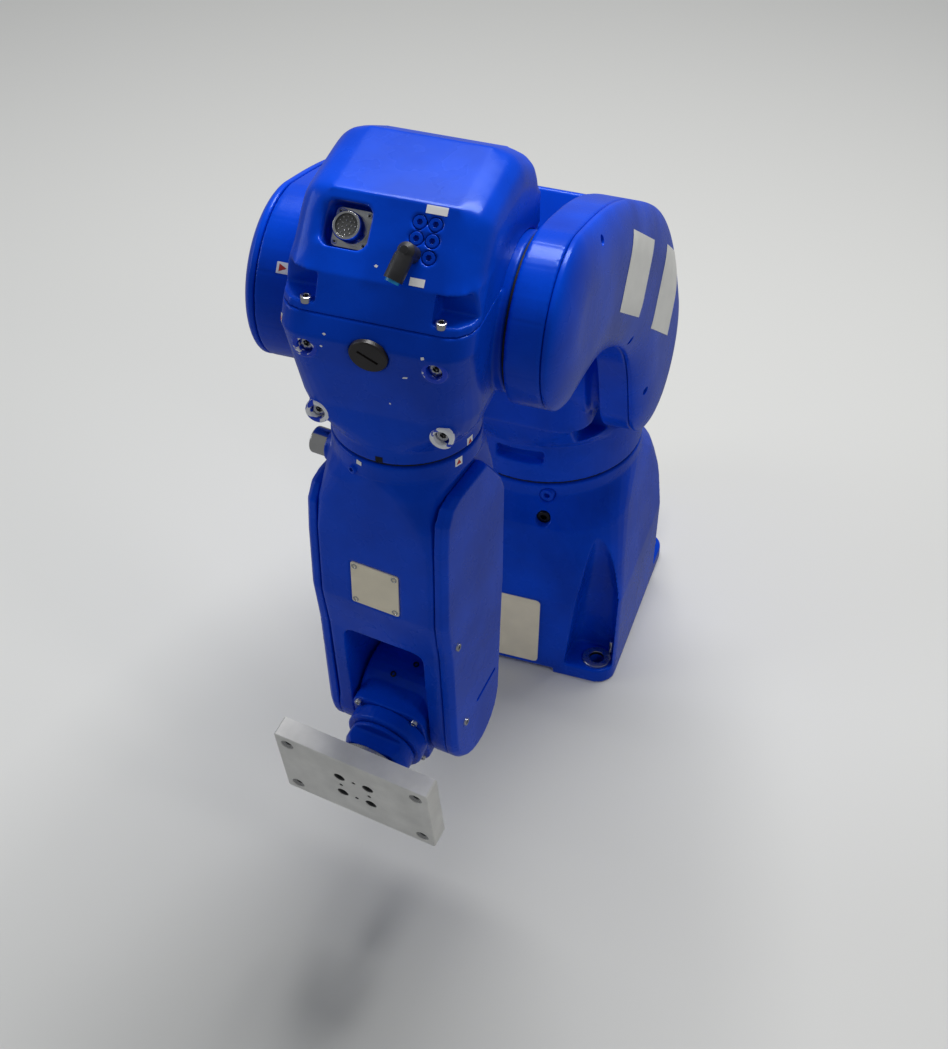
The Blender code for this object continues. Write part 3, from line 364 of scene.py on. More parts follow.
NECK_RADIUS = 86.5
NECK_SIDES = 32
base_neck = true_rounds((GROUND, 2, (181, 199), (0, 0), NECK_RADIUS, NECK_SIDES))
soft_casting("base_casting", "base", BLUE, 0.0011, 5, 0.26, reshape=base_neck)


# Turned and moulded small pieces: screws, plugs and rings are surfaces of revolution, a profile of radius and
# height carried round an axis. A socket's rows follow a hexagon instead of a circle.
RING_WELD = 1e-7
SHARP_EDGE = math.radians(32)


def surface(name, points, material, body, closed=True, caps=True):
    """Mesh over a grid of points [row, column]: columns close into rings, and end rows may be capped."""
    rows, columns = points.shape[:2]
    index = np.arange(rows * columns).reshape(rows, columns)
    right = np.roll(index, -1, axis=1) if closed else index[:, 1:]
    left = index if closed else index[:, :-1]
    quads = np.stack((left[:-1], right[:-1], right[1:], left[1:]), axis=-1).reshape(-1, 4)
    faces = quads.tolist()
    if closed and caps:
        faces += [index[0, ::-1].tolist(), index[-1].tolist()]
    mesh = bpy.data.meshes.new(name)
    mesh.from_pydata(points.reshape(-1, 3).tolist(), [], faces)
    work = bmesh.new()
    work.from_mesh(mesh)
    bmesh.ops.remove_doubles(work, verts=work.verts, dist=RING_WELD)
    if closed and caps:
        bmesh.ops.recalc_face_normals(work, faces=work.faces)
    work.to_mesh(mesh)
    work.free()
    mesh.shade_smooth()
    mesh.set_sharp_from_angle(angle=SHARP_EDGE)
    mesh.materials.append(material)
    piece = bpy.data.objects.new(name, mesh)
    bpy.context.scene.collection.objects.link(piece)
    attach(piece, body)
    return piece


def revolved(profile, sides=40, socket_rows=0):
    """Rows of (radius, height) round +Z; the last socket_rows rows are hexagons of that flat radius."""
    profile = np.array(profile, float)
    angle = np.linspace(0, 2 * np.pi, sides, endpoint=False)
    radius = np.repeat(profile[:, :1], sides, axis=1)
    if socket_rows:
        hexagon = 1 / np.cos((angle % (np.pi / 3)) - np.pi / 6)
        radius[-socket_rows:] *= hexagon
    height = np.repeat(profile[:, 1:2], sides, axis=1)
    return np.stack((radius * np.cos(angle), radius * np.sin(angle), height), axis=-1)


def placed(points, body_frame, place, normal, spin):
    """Points in millimetres, with +Z along normal at a place of a body's frame, as metres in the room."""
    normal = np.array(normal, float) / np.linalg.norm(normal)
    helper = np.array((1.0, 0, 0)) if abs(normal[0]) < 0.9 else np.array((0, 1.0, 0))
    across = helper - normal * (helper @ normal)
    across /= np.linalg.norm(across)
    up = np.cross(normal, across)
    cosine, sine = math.cos(math.radians(spin)), math.sin(math.radians(spin))
    first = across * cosine + up * sine
    second = up * cosine - across * sine
    local = np.array(place, float) + points @ np.stack((first, second, normal))
    matrix = np.array(body_frame)
    return local / 1000 @ matrix[:3, :3].T + matrix[:3, 3]


def turned(name, profile, sides, body, body_frame, place, normal, material, socket_rows=0, spin=0.0):
    """Open surface of revolution that stands along normal at a place of a body's frame."""
    points = placed(revolved(profile, sides, socket_rows), body_frame, place, normal, spin)
    return surface(name, points, material, body, caps=False)


def metal(name, colour, roughness, spread, scale=90, scratch=0.12, mirror=1.0):
    """Bare metal with fine turning or grinding marks; its mirror share is under 1 where it is dull."""
    material, nodes, links, shader, place = blank_finish(name)
    shader.inputs["Metallic"].default_value = mirror
    dark = tuple(channel * 0.82 for channel in colour)
    links.new(ramp(nodes, links, noise(nodes, links, scale, 4, place), 0.3, 0.7, dark, colour),
              shader.inputs["Base Color"])
    fine = noise(nodes, links, scale * 6, 3, stretched(nodes, links, place, (1, 1, 6)))
    links.new(ramp(nodes, links, fine, 0.3, 0.7, (roughness - spread,) * 3, (roughness + spread,) * 3),
              shader.inputs["Roughness"])
    bump(nodes, links, fine, scratch, 0.0004, shader)
    return material


CHROME = metal("plated_screw_steel", (0.78, 0.78, 0.77), 0.20, 0.06)
BARE_STEEL = metal("bare_steel", (0.60, 0.59, 0.57), 0.32, 0.09)
BLACK_STEEL = metal("blackened_steel", (0.045, 0.045, 0.05), 0.38, 0.08)


def plastic(name, colour, roughness, speckle=500, tone=1.25):
    """Moulded plastic with a fine spark-eroded grain and a slight change of tone."""
    material, nodes, links, shader, place = blank_finish(name)
    light = tuple(min(1.0, channel * tone + 0.004) for channel in colour)
    links.new(ramp(nodes, links, noise(nodes, links, 60, 3, place), 0.35, 0.7, colour, light),
              shader.inputs["Base Color"])
    links.new(ramp(nodes, links, noise(nodes, links, 120, 2, place), 0.3, 0.7, (roughness - 0.07,) * 3,
                   (roughness + 0.07,) * 3), shader.inputs["Roughness"])
    bump(nodes, links, noise(nodes, links, speckle, 2, place), 0.2, 0.0003, shader)
    return material


# Near-black plastic laid in socket wells, bolt holes and the roll notch: painted shade in their depth.
PAINTED_SHADE = plastic("unlit_cavity", (0.006, 0.006, 0.008), 0.8)
BLACK = plastic("black_plastic", (0.018, 0.018, 0.020), 0.42)


def socket_screw(name, body, body_frame, place, normal, radius, height, finish, spin=0.0):
    """Socket head cap screw, standing on its seat: rounded head, hexagonal socket, painted shade in its depth.
    """
    rim = 0.12 * radius
    key = 0.48 * radius
    bottom = height - 0.62 * radius
    dark_level = height - 0.60 * radius
    profile = ((radius, -0.6), (radius, height - rim), (radius - 0.3 * rim, height - 0.3 * rim),
               (radius - rim, height), (key * 1.22, height), (key, height - 0.25), (key, bottom),
               (0.02, bottom))
    turned(name, profile, 36, body, body_frame, place, normal, finish, 3, spin)
    well_profile = ((key * 0.97, dark_level), (0.01, dark_level))
    turned(f"{name}_well", well_profile, 18, body, body_frame, place, normal, PAINTED_SHADE, spin=spin)


# Foot and neck: four bolt pockets, each with a bare washer and an open bolt hole lined with painted shade, a
# steel locating pin beside the front right one, which finds the arm's place on its bench, and two round plugs
# at the front of the neck.
UPWARD = (0, 0, 1)
FORWARD = (0, -1, 0)
BOLT_X = 83
BOLT_FRONT = -98
BOLT_REAR = 71
PIN_SHIFT = 10.89
PLUG_X = 25.5
washer_profile = ((12.9, 14.0), (13.0, 14.3), (13.0, 16.0), (12.7, 16.25), (7.2, 16.25), (6.8, 15.9),
                  (6.8, 14.0))
bore_profile = ((6.75, 15.8), (6.75, 0.4), (0.01, 0.4))
for side_name, x in (("right", BOLT_X), ("left", -BOLT_X)):
    for end_name, y in (("front", BOLT_FRONT), ("rear", BOLT_REAR)):
        node = f"foot_washer_{end_name}_{side_name}"
        washer = turned(f"{node}_turned", washer_profile, 56, "base", GROUND, (x, y, 0), UPWARD, BARE_STEEL)
        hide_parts(node)
        turned(f"bolt_hole_{end_name}_{side_name}", bore_profile, 32, "base", GROUND, (x, y, 0), UPWARD, PAINTED_SHADE)
pin_profile = ((2.4, 14.0), (2.4, 29.0), (2.15, 29.7), (1.5, 30.0), (0.01, 30.0))
pin_place = (BOLT_X + PIN_SHIFT, BOLT_FRONT + PIN_SHIFT, 0)
pin = turned("locating_pin_ground", pin_profile, 32, "base", GROUND, pin_place, UPWARD, CHROME)
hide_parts("locating_pin")

plug_profile = ((6.2, -8), (6.2, -0.8), (5.7, 0), (3.1, 0), (2.6, -0.3), (2.6, -3.2), (0.01, -3.2))
for name, z, face, finish in (
    ("base_plug_upper", 186, 84.4, BLUE),
    ("base_plug_lower", 167, 91.9, BLACK_STEEL),
):
    plug = turned(f"{name}_turned", plug_profile, 36, "base", GROUND, (PLUG_X, -face, z), FORWARD, finish, 3)
    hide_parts(name)


# Machined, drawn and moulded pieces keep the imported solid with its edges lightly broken: the inlets and their
# panel, the plates, the elbow's connector, plugs and fitting, the stub and the flange. The slotted plug is
# turned as the photograph shows it, and eight of the tool plate's holes are opened.
BROKEN_EDGE = math.radians(40)


def crisp(node, body, material, width, turn=None, cutters=()):
    """The solid of a node with its edges broken, turned in its place where told, and with holes opened."""
    mesh = frame["nodes"][node].data.copy()
    mesh.name = f"{node}_crisp"
    work = bmesh.new()
    work.from_mesh(mesh)
    bmesh.ops.remove_doubles(work, verts=work.verts, dist=WELD)
    bmesh.ops.dissolve_limit(work, angle_limit=math.radians(1), verts=work.verts, edges=work.edges)
    work.to_mesh(mesh)
    work.free()
    if turn:
        mesh.transform(turn)
    mesh.materials.clear()
    mesh.materials.append(material)
    piece = bpy.data.objects.new(f"{node}_crisp", mesh)
    bpy.context.scene.collection.objects.link(piece)
    if cutters:
        mesh = carved(piece, cutters)
    mesh.shade_smooth()
    mesh.set_sharp_from_angle(angle=SHARP_EDGE)
    broken = piece.modifiers.new("broken_edge", "BEVEL")
    broken.limit_method = "ANGLE"
    broken.angle_limit = BROKEN_EDGE
    broken.width = width
    broken.segments = 2
    broken.harden_normals = True
    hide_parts(node)
    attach(piece, body)


MILLED = metal("milled_aluminium", (0.93, 0.92, 0.88), 0.42, 0.06, 40, 0.06, 0.3)
SHEET = metal("brushed_sheet", (0.62, 0.62, 0.61), 0.40, 0.07, 60, 0.08)
POLISHED = metal("polished_steel", (0.70, 0.69, 0.66), 0.16, 0.04, 50, 0.05)
COATED = plastic("coated_plate", (0.80, 0.73, 0.57), 0.45, 300, 1.08)
COLLAR_BLUE = plastic("cyan_collar", (0.01, 0.28, 0.62), 0.35)
PLUG_BLACK = plastic("brown_black_plug", (0.020, 0.017, 0.016), 0.36)
SLOT_TURN = -32
PLATE_FACE = -16.3
TOOL_HOLE = 11.9
CORNER_X = 53.5
CORNER_Z = 30.0
plug_middle = ELBOW @ Vector((0, 0.0205, 0.1027))
plug_axis = ELBOW.to_3x3() @ Vector((0, -0.197, 0.98))
plug_turn = (Matrix.Translation(plug_middle) @ turned_about(plug_axis, SLOT_TURN)
             @ Matrix.Translation(-plug_middle))
for node, body, finish, width in (
    ("inlet_panel", "base", SHEET, 0.0005),
    ("power_inlet", "base", BLACK, 0.0006),
    ("signal_inlet", "base", BARE_STEEL, 0.0003),
    ("air_inlet_left", "base", BARE_STEEL, 0.0003),
    ("air_inlet_right", "base", BARE_STEEL, 0.0003),
    ("data_plate", "base", COATED, 0.0002),
    ("multi_pin_connector", "elbow", CHROME, 0.0002),
    ("air_port_plug_1", "elbow", BLUE, 0.0002),
    ("air_port_plug_2", "elbow", BLUE, 0.0002),
    ("air_port_plug_3", "elbow", BLUE, 0.0002),
    ("air_port_plug_4", "elbow", BLUE, 0.0002),
    ("air_port_plug_5", "elbow", BLUE, 0.0002),
    ("air_fitting", "elbow", BLACK, 0.0004),
    ("air_fitting_collar", "elbow", COLLAR_BLUE, 0.0002),
    ("window_plate", "forearm", COATED, 0.0002),
    ("steel_stub", "forearm", POLISHED, 0.0003),
    ("tool_flange", "tool", BARE_STEEL, 0.0003),
):
    crisp(node, body, finish, width)
crisp("slotted_plug", "elbow", PLUG_BLACK, 0.0003, plug_turn)
counterbores = []
for pitch_x, pitch_z, bore, depth in ((TOOL_HOLE, TOOL_HOLE, 9.8, 9.0), (CORNER_X, CORNER_Z, 11.4, 2.0)):
    for x in (-pitch_x, pitch_x):
        for z in (-pitch_z, pitch_z):
            mouth = (x, PLATE_FACE, z)
            counterbores.append(slot_cutter(TOOL, mouth, mouth, bore, FORWARD, depth))
crisp("tool_plate", "tool", MILLED, 0.0003, cutters=counterbores)


# Lower arm: its legs' side outline is a smooth curve, so the casting's side walls are drawn onto it, and each
# cover is a domed skin over the same curve, with sunk wells where its screws sit.
LEG_LENGTH = 0.345
LEG_BOW = 0.0455
LEG_BOW_WAVES = ((1, 1.11), (2, 0.077), (3, 0.075))
LEG_WAIST = 0.010
LEG_FOOT_RADIUS = 0.068
LEG_TOP_RADIUS = 0.0595
LEG_INNER_FACE = 0.0722
WALL_REACH = 0.0045
WALL_BAND = 0.003


def leg_curve(finer, shrink=0.0):
    """Side outline of a leg in its frame, in metres, as rows of (y, z): finer points per step of the solid.

    The middle line bows in three waves, the half width narrows to a waist, and both ends are round."""
    share = np.linspace(0, 1, 12 * finer + 1)
    rise = np.zeros_like(share)
    turn = np.zeros_like(share)
    for wave, height in LEG_BOW_WAVES:
        rise += LEG_BOW * height * np.sin(wave * np.pi * share)
        turn += LEG_BOW * height * wave * np.pi * np.cos(wave * np.pi * share)
    slope = np.arctan2(turn, LEG_LENGTH)
    half = (LEG_FOOT_RADIUS + (LEG_TOP_RADIUS - LEG_FOOT_RADIUS) * share
            - LEG_WAIST * np.sin(np.pi * share) - shrink)
    rear = np.stack((rise + half * np.cos(slope), LEG_LENGTH * share - half * np.sin(slope)), axis=-1)
    front = np.stack((rise - half * np.cos(slope), LEG_LENGTH * share + half * np.sin(slope)), axis=-1)
    top_turn = -slope[-1] + np.linspace(0, np.pi, 10 * finer + 1)
    top = np.stack((np.cos(top_turn), np.sin(top_turn)), axis=-1) * (LEG_TOP_RADIUS - shrink)
    top = top + (0, LEG_LENGTH)
    foot_turn = np.pi - slope[0] + np.linspace(0, np.pi, 10 * finer + 1)
    foot = np.stack((np.cos(foot_turn), np.sin(foot_turn)), axis=-1) * (LEG_FOOT_RADIUS - shrink)
    return np.concatenate((rear[:-1], top[:-1], front[::-1][:-1], foot[:-1]))


def true_legs(points, pairs):
    """Moves the side walls of the legs from the solid's straight steps onto the smooth curve.

    Points between WALL_REACH and one WALL_BAND less from the straight outline go a part of the way."""
    finer = 24
    curve = leg_curve(finer)
    corners = leg_curve(1)
    steps = np.linspace(0, 1, finer, endpoint=False)[:, None]
    straight = np.concatenate([first + (second - first) * steps
                               for first, second in zip(corners, np.roll(corners, -1, axis=0))])
    tree = KDTree(len(straight))
    for number, (y, z) in enumerate(straight):
        tree.insert((y, z, 0), number)
    tree.balance()
    matrix = np.array(LOWER)
    local = (points - matrix[:3, 3]) @ matrix[:3, :3]
    for number in np.nonzero(np.abs(local[:, 0]) > LEG_INNER_FACE)[0]:
        nearest, distance = tree.find((local[number, 1], local[number, 2], 0))[1:]
        weight = min(1.0, max(0.0, (WALL_REACH - distance) / WALL_BAND))
        local[number, 1:] += (curve[nearest] - straight[nearest]) * weight
    return local @ matrix[:3, :3].T + matrix[:3, 3]


COVER_RIM = 0.1000
COVER_DOME = 0.0115
COVER_INSET = 0.039
COVER_FULLNESS = 0.62
SCREW_SEAT = 100.2
SCREW_WELL = 7.6
COVER_SCREWS = ((105, 55.5, 335), (104, 0.5, 146), (105, -34, 45))


def leg_cover(side, name, cutters):
    """Domed cover of a leg: a thin rim, then a skin that rises to a narrow flat."""
    rows = [(0.0971, 0.0012), (0.0976, 0.0003), (0.0982, 0.0), (COVER_RIM, 0.0)]
    for turn in np.linspace(0, np.pi / 2, 16)[1:]:
        inward = 1 - np.cos(turn)
        rise = COVER_DOME * (1 - (1 - inward) ** 2) ** COVER_FULLNESS
        rows.append((COVER_RIM + rise, COVER_INSET * inward))
    matrix = np.array(LOWER)
    rings = []
    for out, shrink in rows:
        curve = leg_curve(7, shrink)
        ring = np.column_stack((np.full(len(curve), side * out), curve))
        rings.append(ring @ matrix[:3, :3].T + matrix[:3, 3])
    piece = surface(f"{name}_skin", np.array(rings), COVER_BLUE, "lower_arm")
    carved(piece, cutters, "EXACT")
    piece.data.shade_smooth()
    piece.data.set_sharp_from_angle(angle=math.radians(38))
    weighted = piece.modifiers.new("flats", "WEIGHTED_NORMAL")
    weighted.keep_sharp = True
    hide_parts(name)
    SHELLS[name] = piece


for side, name in ((1, "lower_arm_right_cover"), (-1, "lower_arm_left_cover")):
    outward = (side, 0, 0)
    wells = []
    for x, y, z in COVER_SCREWS:
        mouth = (side * x, y, z)
        wells.append(slot_cutter(LOWER, mouth, mouth, SCREW_WELL, outward, x - SCREW_SEAT))
    leg_cover(side, name, wells)
    for x, y, z in COVER_SCREWS:
        socket_screw(f"{name}_screw_{z}", "lower_arm", LOWER, (side * SCREW_SEAT, y, z), outward, 3.0, 2.6,
                     BLUE, 10)


# Joint grooves: near-black rings that fill the grooves of the swivel, shoulder, elbow and roll joints, painted
# shade in the gaps.
GROOVE_SHADE = plastic("groove_shade_black", (0.006, 0.006, 0.007), 0.7, 300)
RING_ROUNDING = 0.4
RING_SHOULDER = 1.6
JOINT_GROOVE = 72.4
ROLL_GROOVE = -76.7
SWIVEL_GROOVE = 196.9


def shade_ring(name, sides, body, body_frame, place, normal, inner, outer, bottom, top):
    """Flat near-black ring of painted shade between two radii and two heights, with its outer edges rounded."""
    profile = ((inner, bottom), (outer - RING_ROUNDING, bottom), (outer, bottom + RING_ROUNDING),
               (outer, RING_SHOULDER), (outer - RING_ROUNDING, top), (inner, top), (inner, bottom))
    turned(name, profile, sides, body, body_frame, place, normal, GROOVE_SHADE)


for side in (-1, 1):
    for joint, height in (("shoulder", 0), ("elbow", 1000 * LEG_LENGTH)):
        shade_ring(f"{joint}_seal_{side}", 96, "lower_arm", LOWER, (side * JOINT_GROOVE, 0, height), (-side, 0, 0),
             40.6, 55.0, 0.1, 1.9)
shade_ring("roll_seal", 96, "forearm", FOREARM, (0, ROLL_GROOVE, 0), (0, 1, 0), 37.0, 49.2, 0.2, 2.0)
shade_ring("swivel_seal", 120, "base", GROUND, (0, 0, SWIVEL_GROOVE), UPWARD, 61.0, 84.4, 0.2, 2.0)


# Swivel, elbow, forearm and wrist castings and covers. The elbow's top cover runs over from face to side in
# one large rounding, so its side bands are relaxed much further, away from its pockets and openings.
BAND_SIDE = 41
BAND_CLEAR = 64
BAND_ROUNDS = 140


def eased_bands(points, pairs):
    """Relaxes the side bands of the elbow's top cover, each point towards the middle of its neighbours."""
    matrix = np.array(ELBOW)
    local = (points - matrix[:3, 3]) @ matrix[:3, :3] * 1000
    side = np.clip((np.abs(local[:, 0]) - BAND_SIDE) / 4, 0, 1)
    clear = np.clip((local[:, 1] - BAND_CLEAR) / 5, 0, 1)
    weight = (0.5 * side * clear)[:, None]
    count = np.bincount(pairs.ravel(), minlength=len(points))[:, None]
    for step in range(BAND_ROUNDS):
        total = np.zeros_like(points)
        for axis in range(3):
            total[:, axis] = (np.bincount(pairs[:, 0], points[pairs[:, 1], axis], len(points))
                              + np.bincount(pairs[:, 1], points[pairs[:, 0], axis], len(points)))
        points = points + weight * (total / count - points)
    return points


ROLL_RADIUS = 51.4
forearm_slots = [slot_cutter(FOREARM, (55, -317, -27), (55, -324, 2), 4.0, (1, 0, 0), 2.2)]
swivel_rounds = true_rounds((GROUND, 2, (198, 244), (0, 0), NECK_RADIUS, NECK_SIDES),
                            (GROUND, 0, (-60, 60), (-40, 330), 64, 40))
elbow_rounds = true_rounds((ELBOW, 1, (-76, -62), (0, 40), ROLL_RADIUS, 28),
                           (ELBOW, 0, (-70, 70), (0, 0), 53.7, 44))
forearm_rounds = true_rounds((FOREARM, 1, (-90, -76), (0, 0), ROLL_RADIUS, 24))
for node, body, finish, voxel, rounds, share, cutters, reshape in (
    ("swivel_housing", "swivel", BLUE, 0.0013, 6, 0.45, (), swivel_rounds),
    ("swivel_rear_cover", "swivel", COVER_BLUE, 0.0008, 3, 0.3, (), None),
    ("lower_arm_casting", "lower_arm", BLUE, 0.0015, 3, 0.5, (), true_legs),
    ("elbow_housing", "elbow", BLUE, 0.0010, 6, 0.4, (), elbow_rounds),
    ("elbow_top_cover", "elbow", COVER_BLUE, 0.0010, 6, 0.5, (), eased_bands),
    ("forearm_casting", "forearm", BLUE, 0.0010, 6, 0.4, (), forearm_rounds),
    ("forearm_right_cover", "forearm", COVER_BLUE, 0.0008, 6, 0.35, forearm_slots, None),
    ("forearm_left_cover", "forearm", COVER_BLUE, 0.0008, 6, 0.35, (), None),
    ("wrist_housing", "wrist", BLUE, 0.0008, 4, 0.4, (), None),
    ("wrist_nose", "wrist", BLUE, 0.0008, 3, 0.35, (), None),
    ("wrist_cap", "wrist", BLUE, 0.0008, 3, 0.35, (), None),
):
    soft_casting(node, body, finish, voxel, rounds, share, cutters, reshape)


# Bare labels and marks: blank plates on the right leg where the printed ones sit, small white tags by the air
# ports, and white alignment marks with a red arrowhead beside the joints' grooves, all laid on the paint.
LAID_FROM = 14.0
LAID_REACH = 0.03


def laid(name, body, body_frame, shells, place, normal, outline, material, spin=0.0, lift=0.14, steps=10):
    """Plate of a four-cornered outline in millimetres round a place, following the shells under it."""
    corners = np.array(outline, float)
    u, v = np.meshgrid(np.linspace(0, 1, steps), np.linspace(0, 1, steps), indexing="ij")
    u, v = u[..., None], v[..., None]
    flat = (corners[0] * (1 - u) * (1 - v) + corners[1] * u * (1 - v) + corners[2] * u * v
            + corners[3] * (1 - u) * v)
    raised = np.concatenate((flat, np.full((*flat.shape[:2], 1), LAID_FROM)), axis=-1)
    origins = placed(raised, body_frame, place, normal, spin)
    inward = -(body_frame.to_3x3() @ Vector(normal)).normalized()
    graph = bpy.context.evaluated_depsgraph_get()
    trees = [BVHTree.FromObject(SHELLS[shell], graph) for shell in shells]
    points = np.empty_like(origins)
    for i in range(steps):
        for j in range(steps):
            start = Vector(origins[i, j])
            hits = [tree.ray_cast(start, inward, LAID_REACH) for tree in trees]
            hits = [hit for hit in hits if hit[0] is not None]
            reach = min((hit[3] for hit in hits), default=LAID_FROM / 1000)
            points[i, j] = start + inward * (reach - lift / 1000)
    surface(name, points, material, body, closed=False, caps=False)


def scaled(width, height, *corners):
    """Outline with corners told in widths and heights."""
    return [(u * width, v * height) for u, v in corners]


def rectangle(width, height):
    """Corners of a rectangle, anticlockwise."""
    return scaled(width, height, (-0.5, -0.5), (0.5, -0.5), (0.5, 0.5), (-0.5, 0.5))


LABEL = plastic("blank_label", (0.86, 0.86, 0.82), 0.42, 200, 1.05)
MARK = plastic("white_mark", (0.80, 0.80, 0.79), 0.5, 200, 1.06)
RED_MARK = plastic("red_mark", (0.45, 0.02, 0.02), 0.5, 200)
FACE_LOW = (50, 102)
FACE_HIGH = (85, 63)
slope = math.atan2(FACE_HIGH[0] - FACE_LOW[0], FACE_LOW[1] - FACE_HIGH[1])
face_out = (0.0, math.sin(slope), math.cos(slope))
face_up = (0.0, math.cos(slope), -math.sin(slope))
boss_out = (0, -0.19, 0.98)

for name, place, outline, spin in (
    ("leg_label_upper", (110, 46, 203), rectangle(58, 84), 1.5),
    ("leg_label_lower", (110, 47, 58), rectangle(66, 84), 0),
):
    laid(name, "lower_arm", LOWER, ["lower_arm_right_cover"], place, (1, 0, 0), outline, LABEL, spin, 0.2, 20)
for name, place, outline in (
    ("port_tag_upper", (28.0, 99.6, 52.2), rectangle(13.8, 5.2)),
    ("port_tag_lower", (25.2, 66.3, 82.0), rectangle(9.6, 5.0)),
):
    laid(name, "elbow", ELBOW, ["elbow_top_cover"], place, face_out, outline, MARK)
for name, body, body_frame, shell, place, normal, width, height in (
    ("roll_mark_upper", "elbow", ELBOW, "elbow_housing", (49.2, -70.6, 54.2), (0.92, 0, 0.39), 6.5, 6.2),
    ("roll_mark_lower", "forearm", FOREARM, "forearm_casting", (48.3, -81.6, 17.6), (0.94, 0, 0.34),
     6.5, 6.2),
    ("drum_mark", "lower_arm", LOWER, "lower_arm_casting", (-78.6, -3.6, 403.8), (0, -0.05, 1), 8.5, 7.5),
    ("drum_mark_inner", "elbow", ELBOW, "elbow_housing", (-59.6, 28.0, 92.0), (-0.75, 0.2, 0.62), 4.0, 7.0),
):
    laid(name, body, body_frame, [shell], place, normal, rectangle(width, height), MARK)
    arrow = scaled(width, height, (-0.3, -0.34), (0.34, 0), (0.34, 0), (-0.3, 0.34))
    laid(f"{name}_arrow", body, body_frame, [shell], place, normal, arrow, RED_MARK, 0, 0.2, 6)
for number, (place, normal, width, height) in enumerate((
    ((-2.3, 70.2, 78.6), face_out, 1.3, 1.0),
    ((22.6, 7.1, 100.1), boss_out, 2.2, 0.8),
    ((35.5, 27.3, 103.8), (0, 0.4, 0.9), 1.4, 1.2),
    ((-31.2, 20.6, 102.7), boss_out, 1.0, 1.0),
    ((-28.8, 30.0, 102.4), (0, 0.47, 0.88), 0.8, 1.3),
    ((10.0, -20.0, 95.0), boss_out, 0.9, 0.7),
)):
    chip = scaled(width, height, (-1, -0.4), (0.5, -1), (1, 0.3), (-0.3, 1))
    laid(f"paint_chip_{number}", "elbow", ELBOW, ["elbow_top_cover", "elbow_housing"], place, normal, chip,
         MARK, 20 * number, 0.06, 4)
# A near-black patch laid at the roll joint stands for its notch: painted shade.
laid("roll_notch_shade", "elbow", ELBOW, ["elbow_housing"], (-0.5, -71.0, 91.0), (0.03, 0, 1), rectangle(5.2, 4.6),
     PAINTED_SHADE, 0, 0.1)
laid("roll_witness", "forearm", FOREARM, ["forearm_casting"], (-8.5, -79.6, 50.6), (-0.15, 0, 0.98),
     ((-2.0, -1.6), (2.2, -2.0), (2.4, 1.2), (-1.6, 2.0)), MARK, 0, 0.25, 6)


# Elbow: two screws of the cover in their pockets, four cored bosses with a chipped rim and a sunk screw, and
# the pins of the connector in their grey insert.
BOSS_X = 42.5
BOSS_DEPTH = 7.2
FACE_MIDDLE = (82.5, 67.5)
CONNECTOR_ACROSS = -27
CONNECTOR_UP = 4.6
CONNECTOR_SCREW = 9.5


def chipped_finish(name, wear):
    """Enamel worn to the white primer along a rim, in broken patches."""
    material, nodes, links, shader, place = blank_finish(name)
    bare = ramp(nodes, links, noise(nodes, links, 130, 3, place, 0.6), 0.5 - wear, 0.53 - wear, (0, 0, 0),
                (1, 1, 1))
    paint = mixed(nodes, links, bare, (0.002, 0.044, 0.58), (0.80, 0.82, 0.86))
    links.new(paint, shader.inputs["Base Color"])
    links.new(ramp(nodes, links, bare, 0.2, 0.8, (0.3,) * 3, (0.6,) * 3), shader.inputs["Roughness"])
    return material


RIM = chipped_finish("chipped_rim", -0.07)
WORN_RIM = chipped_finish("worn_rim", 0.04)
boss_profile = ((5.35, -5.5), (5.35, -0.2), (5.7, 0.25), (7.4, 0.3), (8.2, -0.2), (8.6, -1.6), (8.7, -3.0))
for side, hand in ((-1, "left"), (1, "right")):
    socket_screw(f"cover_screw_{hand}", "elbow", ELBOW, (side * 44.0, 45.0, 92.0), (0, 1, 0), 3.6, 3.6,
                 CHROME, 12)
    for level, y, top, rim in (("upper", 17.5, 102.5, RIM), ("lower", -43.0, 91.0, WORN_RIM)):
        mouth = (side * BOSS_X, y, top)
        turned(f"boss_rim_{level}_{hand}", boss_profile, 48, "elbow", ELBOW, mouth, UPWARD, rim)
        seat = (side * BOSS_X, y, top - BOSS_DEPTH)
        socket_screw(f"boss_screw_{level}_{hand}", "elbow", ELBOW, seat, UPWARD, 4.3, 3.8, CHROME, 20 * side)


def on_face(across, up, lift=0.0):
    """Place on the sloping connector face: across, up from its middle, and out of it."""
    return (across, FACE_MIDDLE[0] + up * face_up[1] + lift * face_out[1],
            FACE_MIDDLE[1] + up * face_up[2] + lift * face_out[2])


INSERT = plastic("grey_insert", (0.10, 0.10, 0.10), 0.5)
insert_profile = ((7.2, -4.4), (7.2, -3.3), (6.9, -3.1), (0.01, -3.1))
connector_place = on_face(CONNECTOR_ACROSS, CONNECTOR_UP)
turned("connector_insert", insert_profile, 40, "elbow", ELBOW, connector_place, face_out, INSERT)
contact_profile = ((0.42, -3.4), (0.42, -2.0), (0.25, -1.8), (0.01, -1.8))
for ring_radius, count in ((5.4, 12), (3.0, 7), (0.0, 1)):
    for number in range(count):
        turn = 2 * math.pi * number / count
        place = on_face(CONNECTOR_ACROSS + ring_radius * math.cos(turn),
                        CONNECTOR_UP + ring_radius * math.sin(turn))
        turned(f"connector_pin_{count}_{number}", contact_profile, 10, "elbow", ELBOW, place, face_out,
               CHROME)
for up in (CONNECTOR_UP - CONNECTOR_SCREW, CONNECTOR_UP + CONNECTOR_SCREW):
    for across in (CONNECTOR_ACROSS - CONNECTOR_SCREW, CONNECTOR_ACROSS + CONNECTOR_SCREW):
        socket_screw(f"connector_screw_{int(across)}_{int(up)}", "elbow", ELBOW, on_face(across, up, -14.2),
                     face_out, 1.5, 1.2, CHROME)


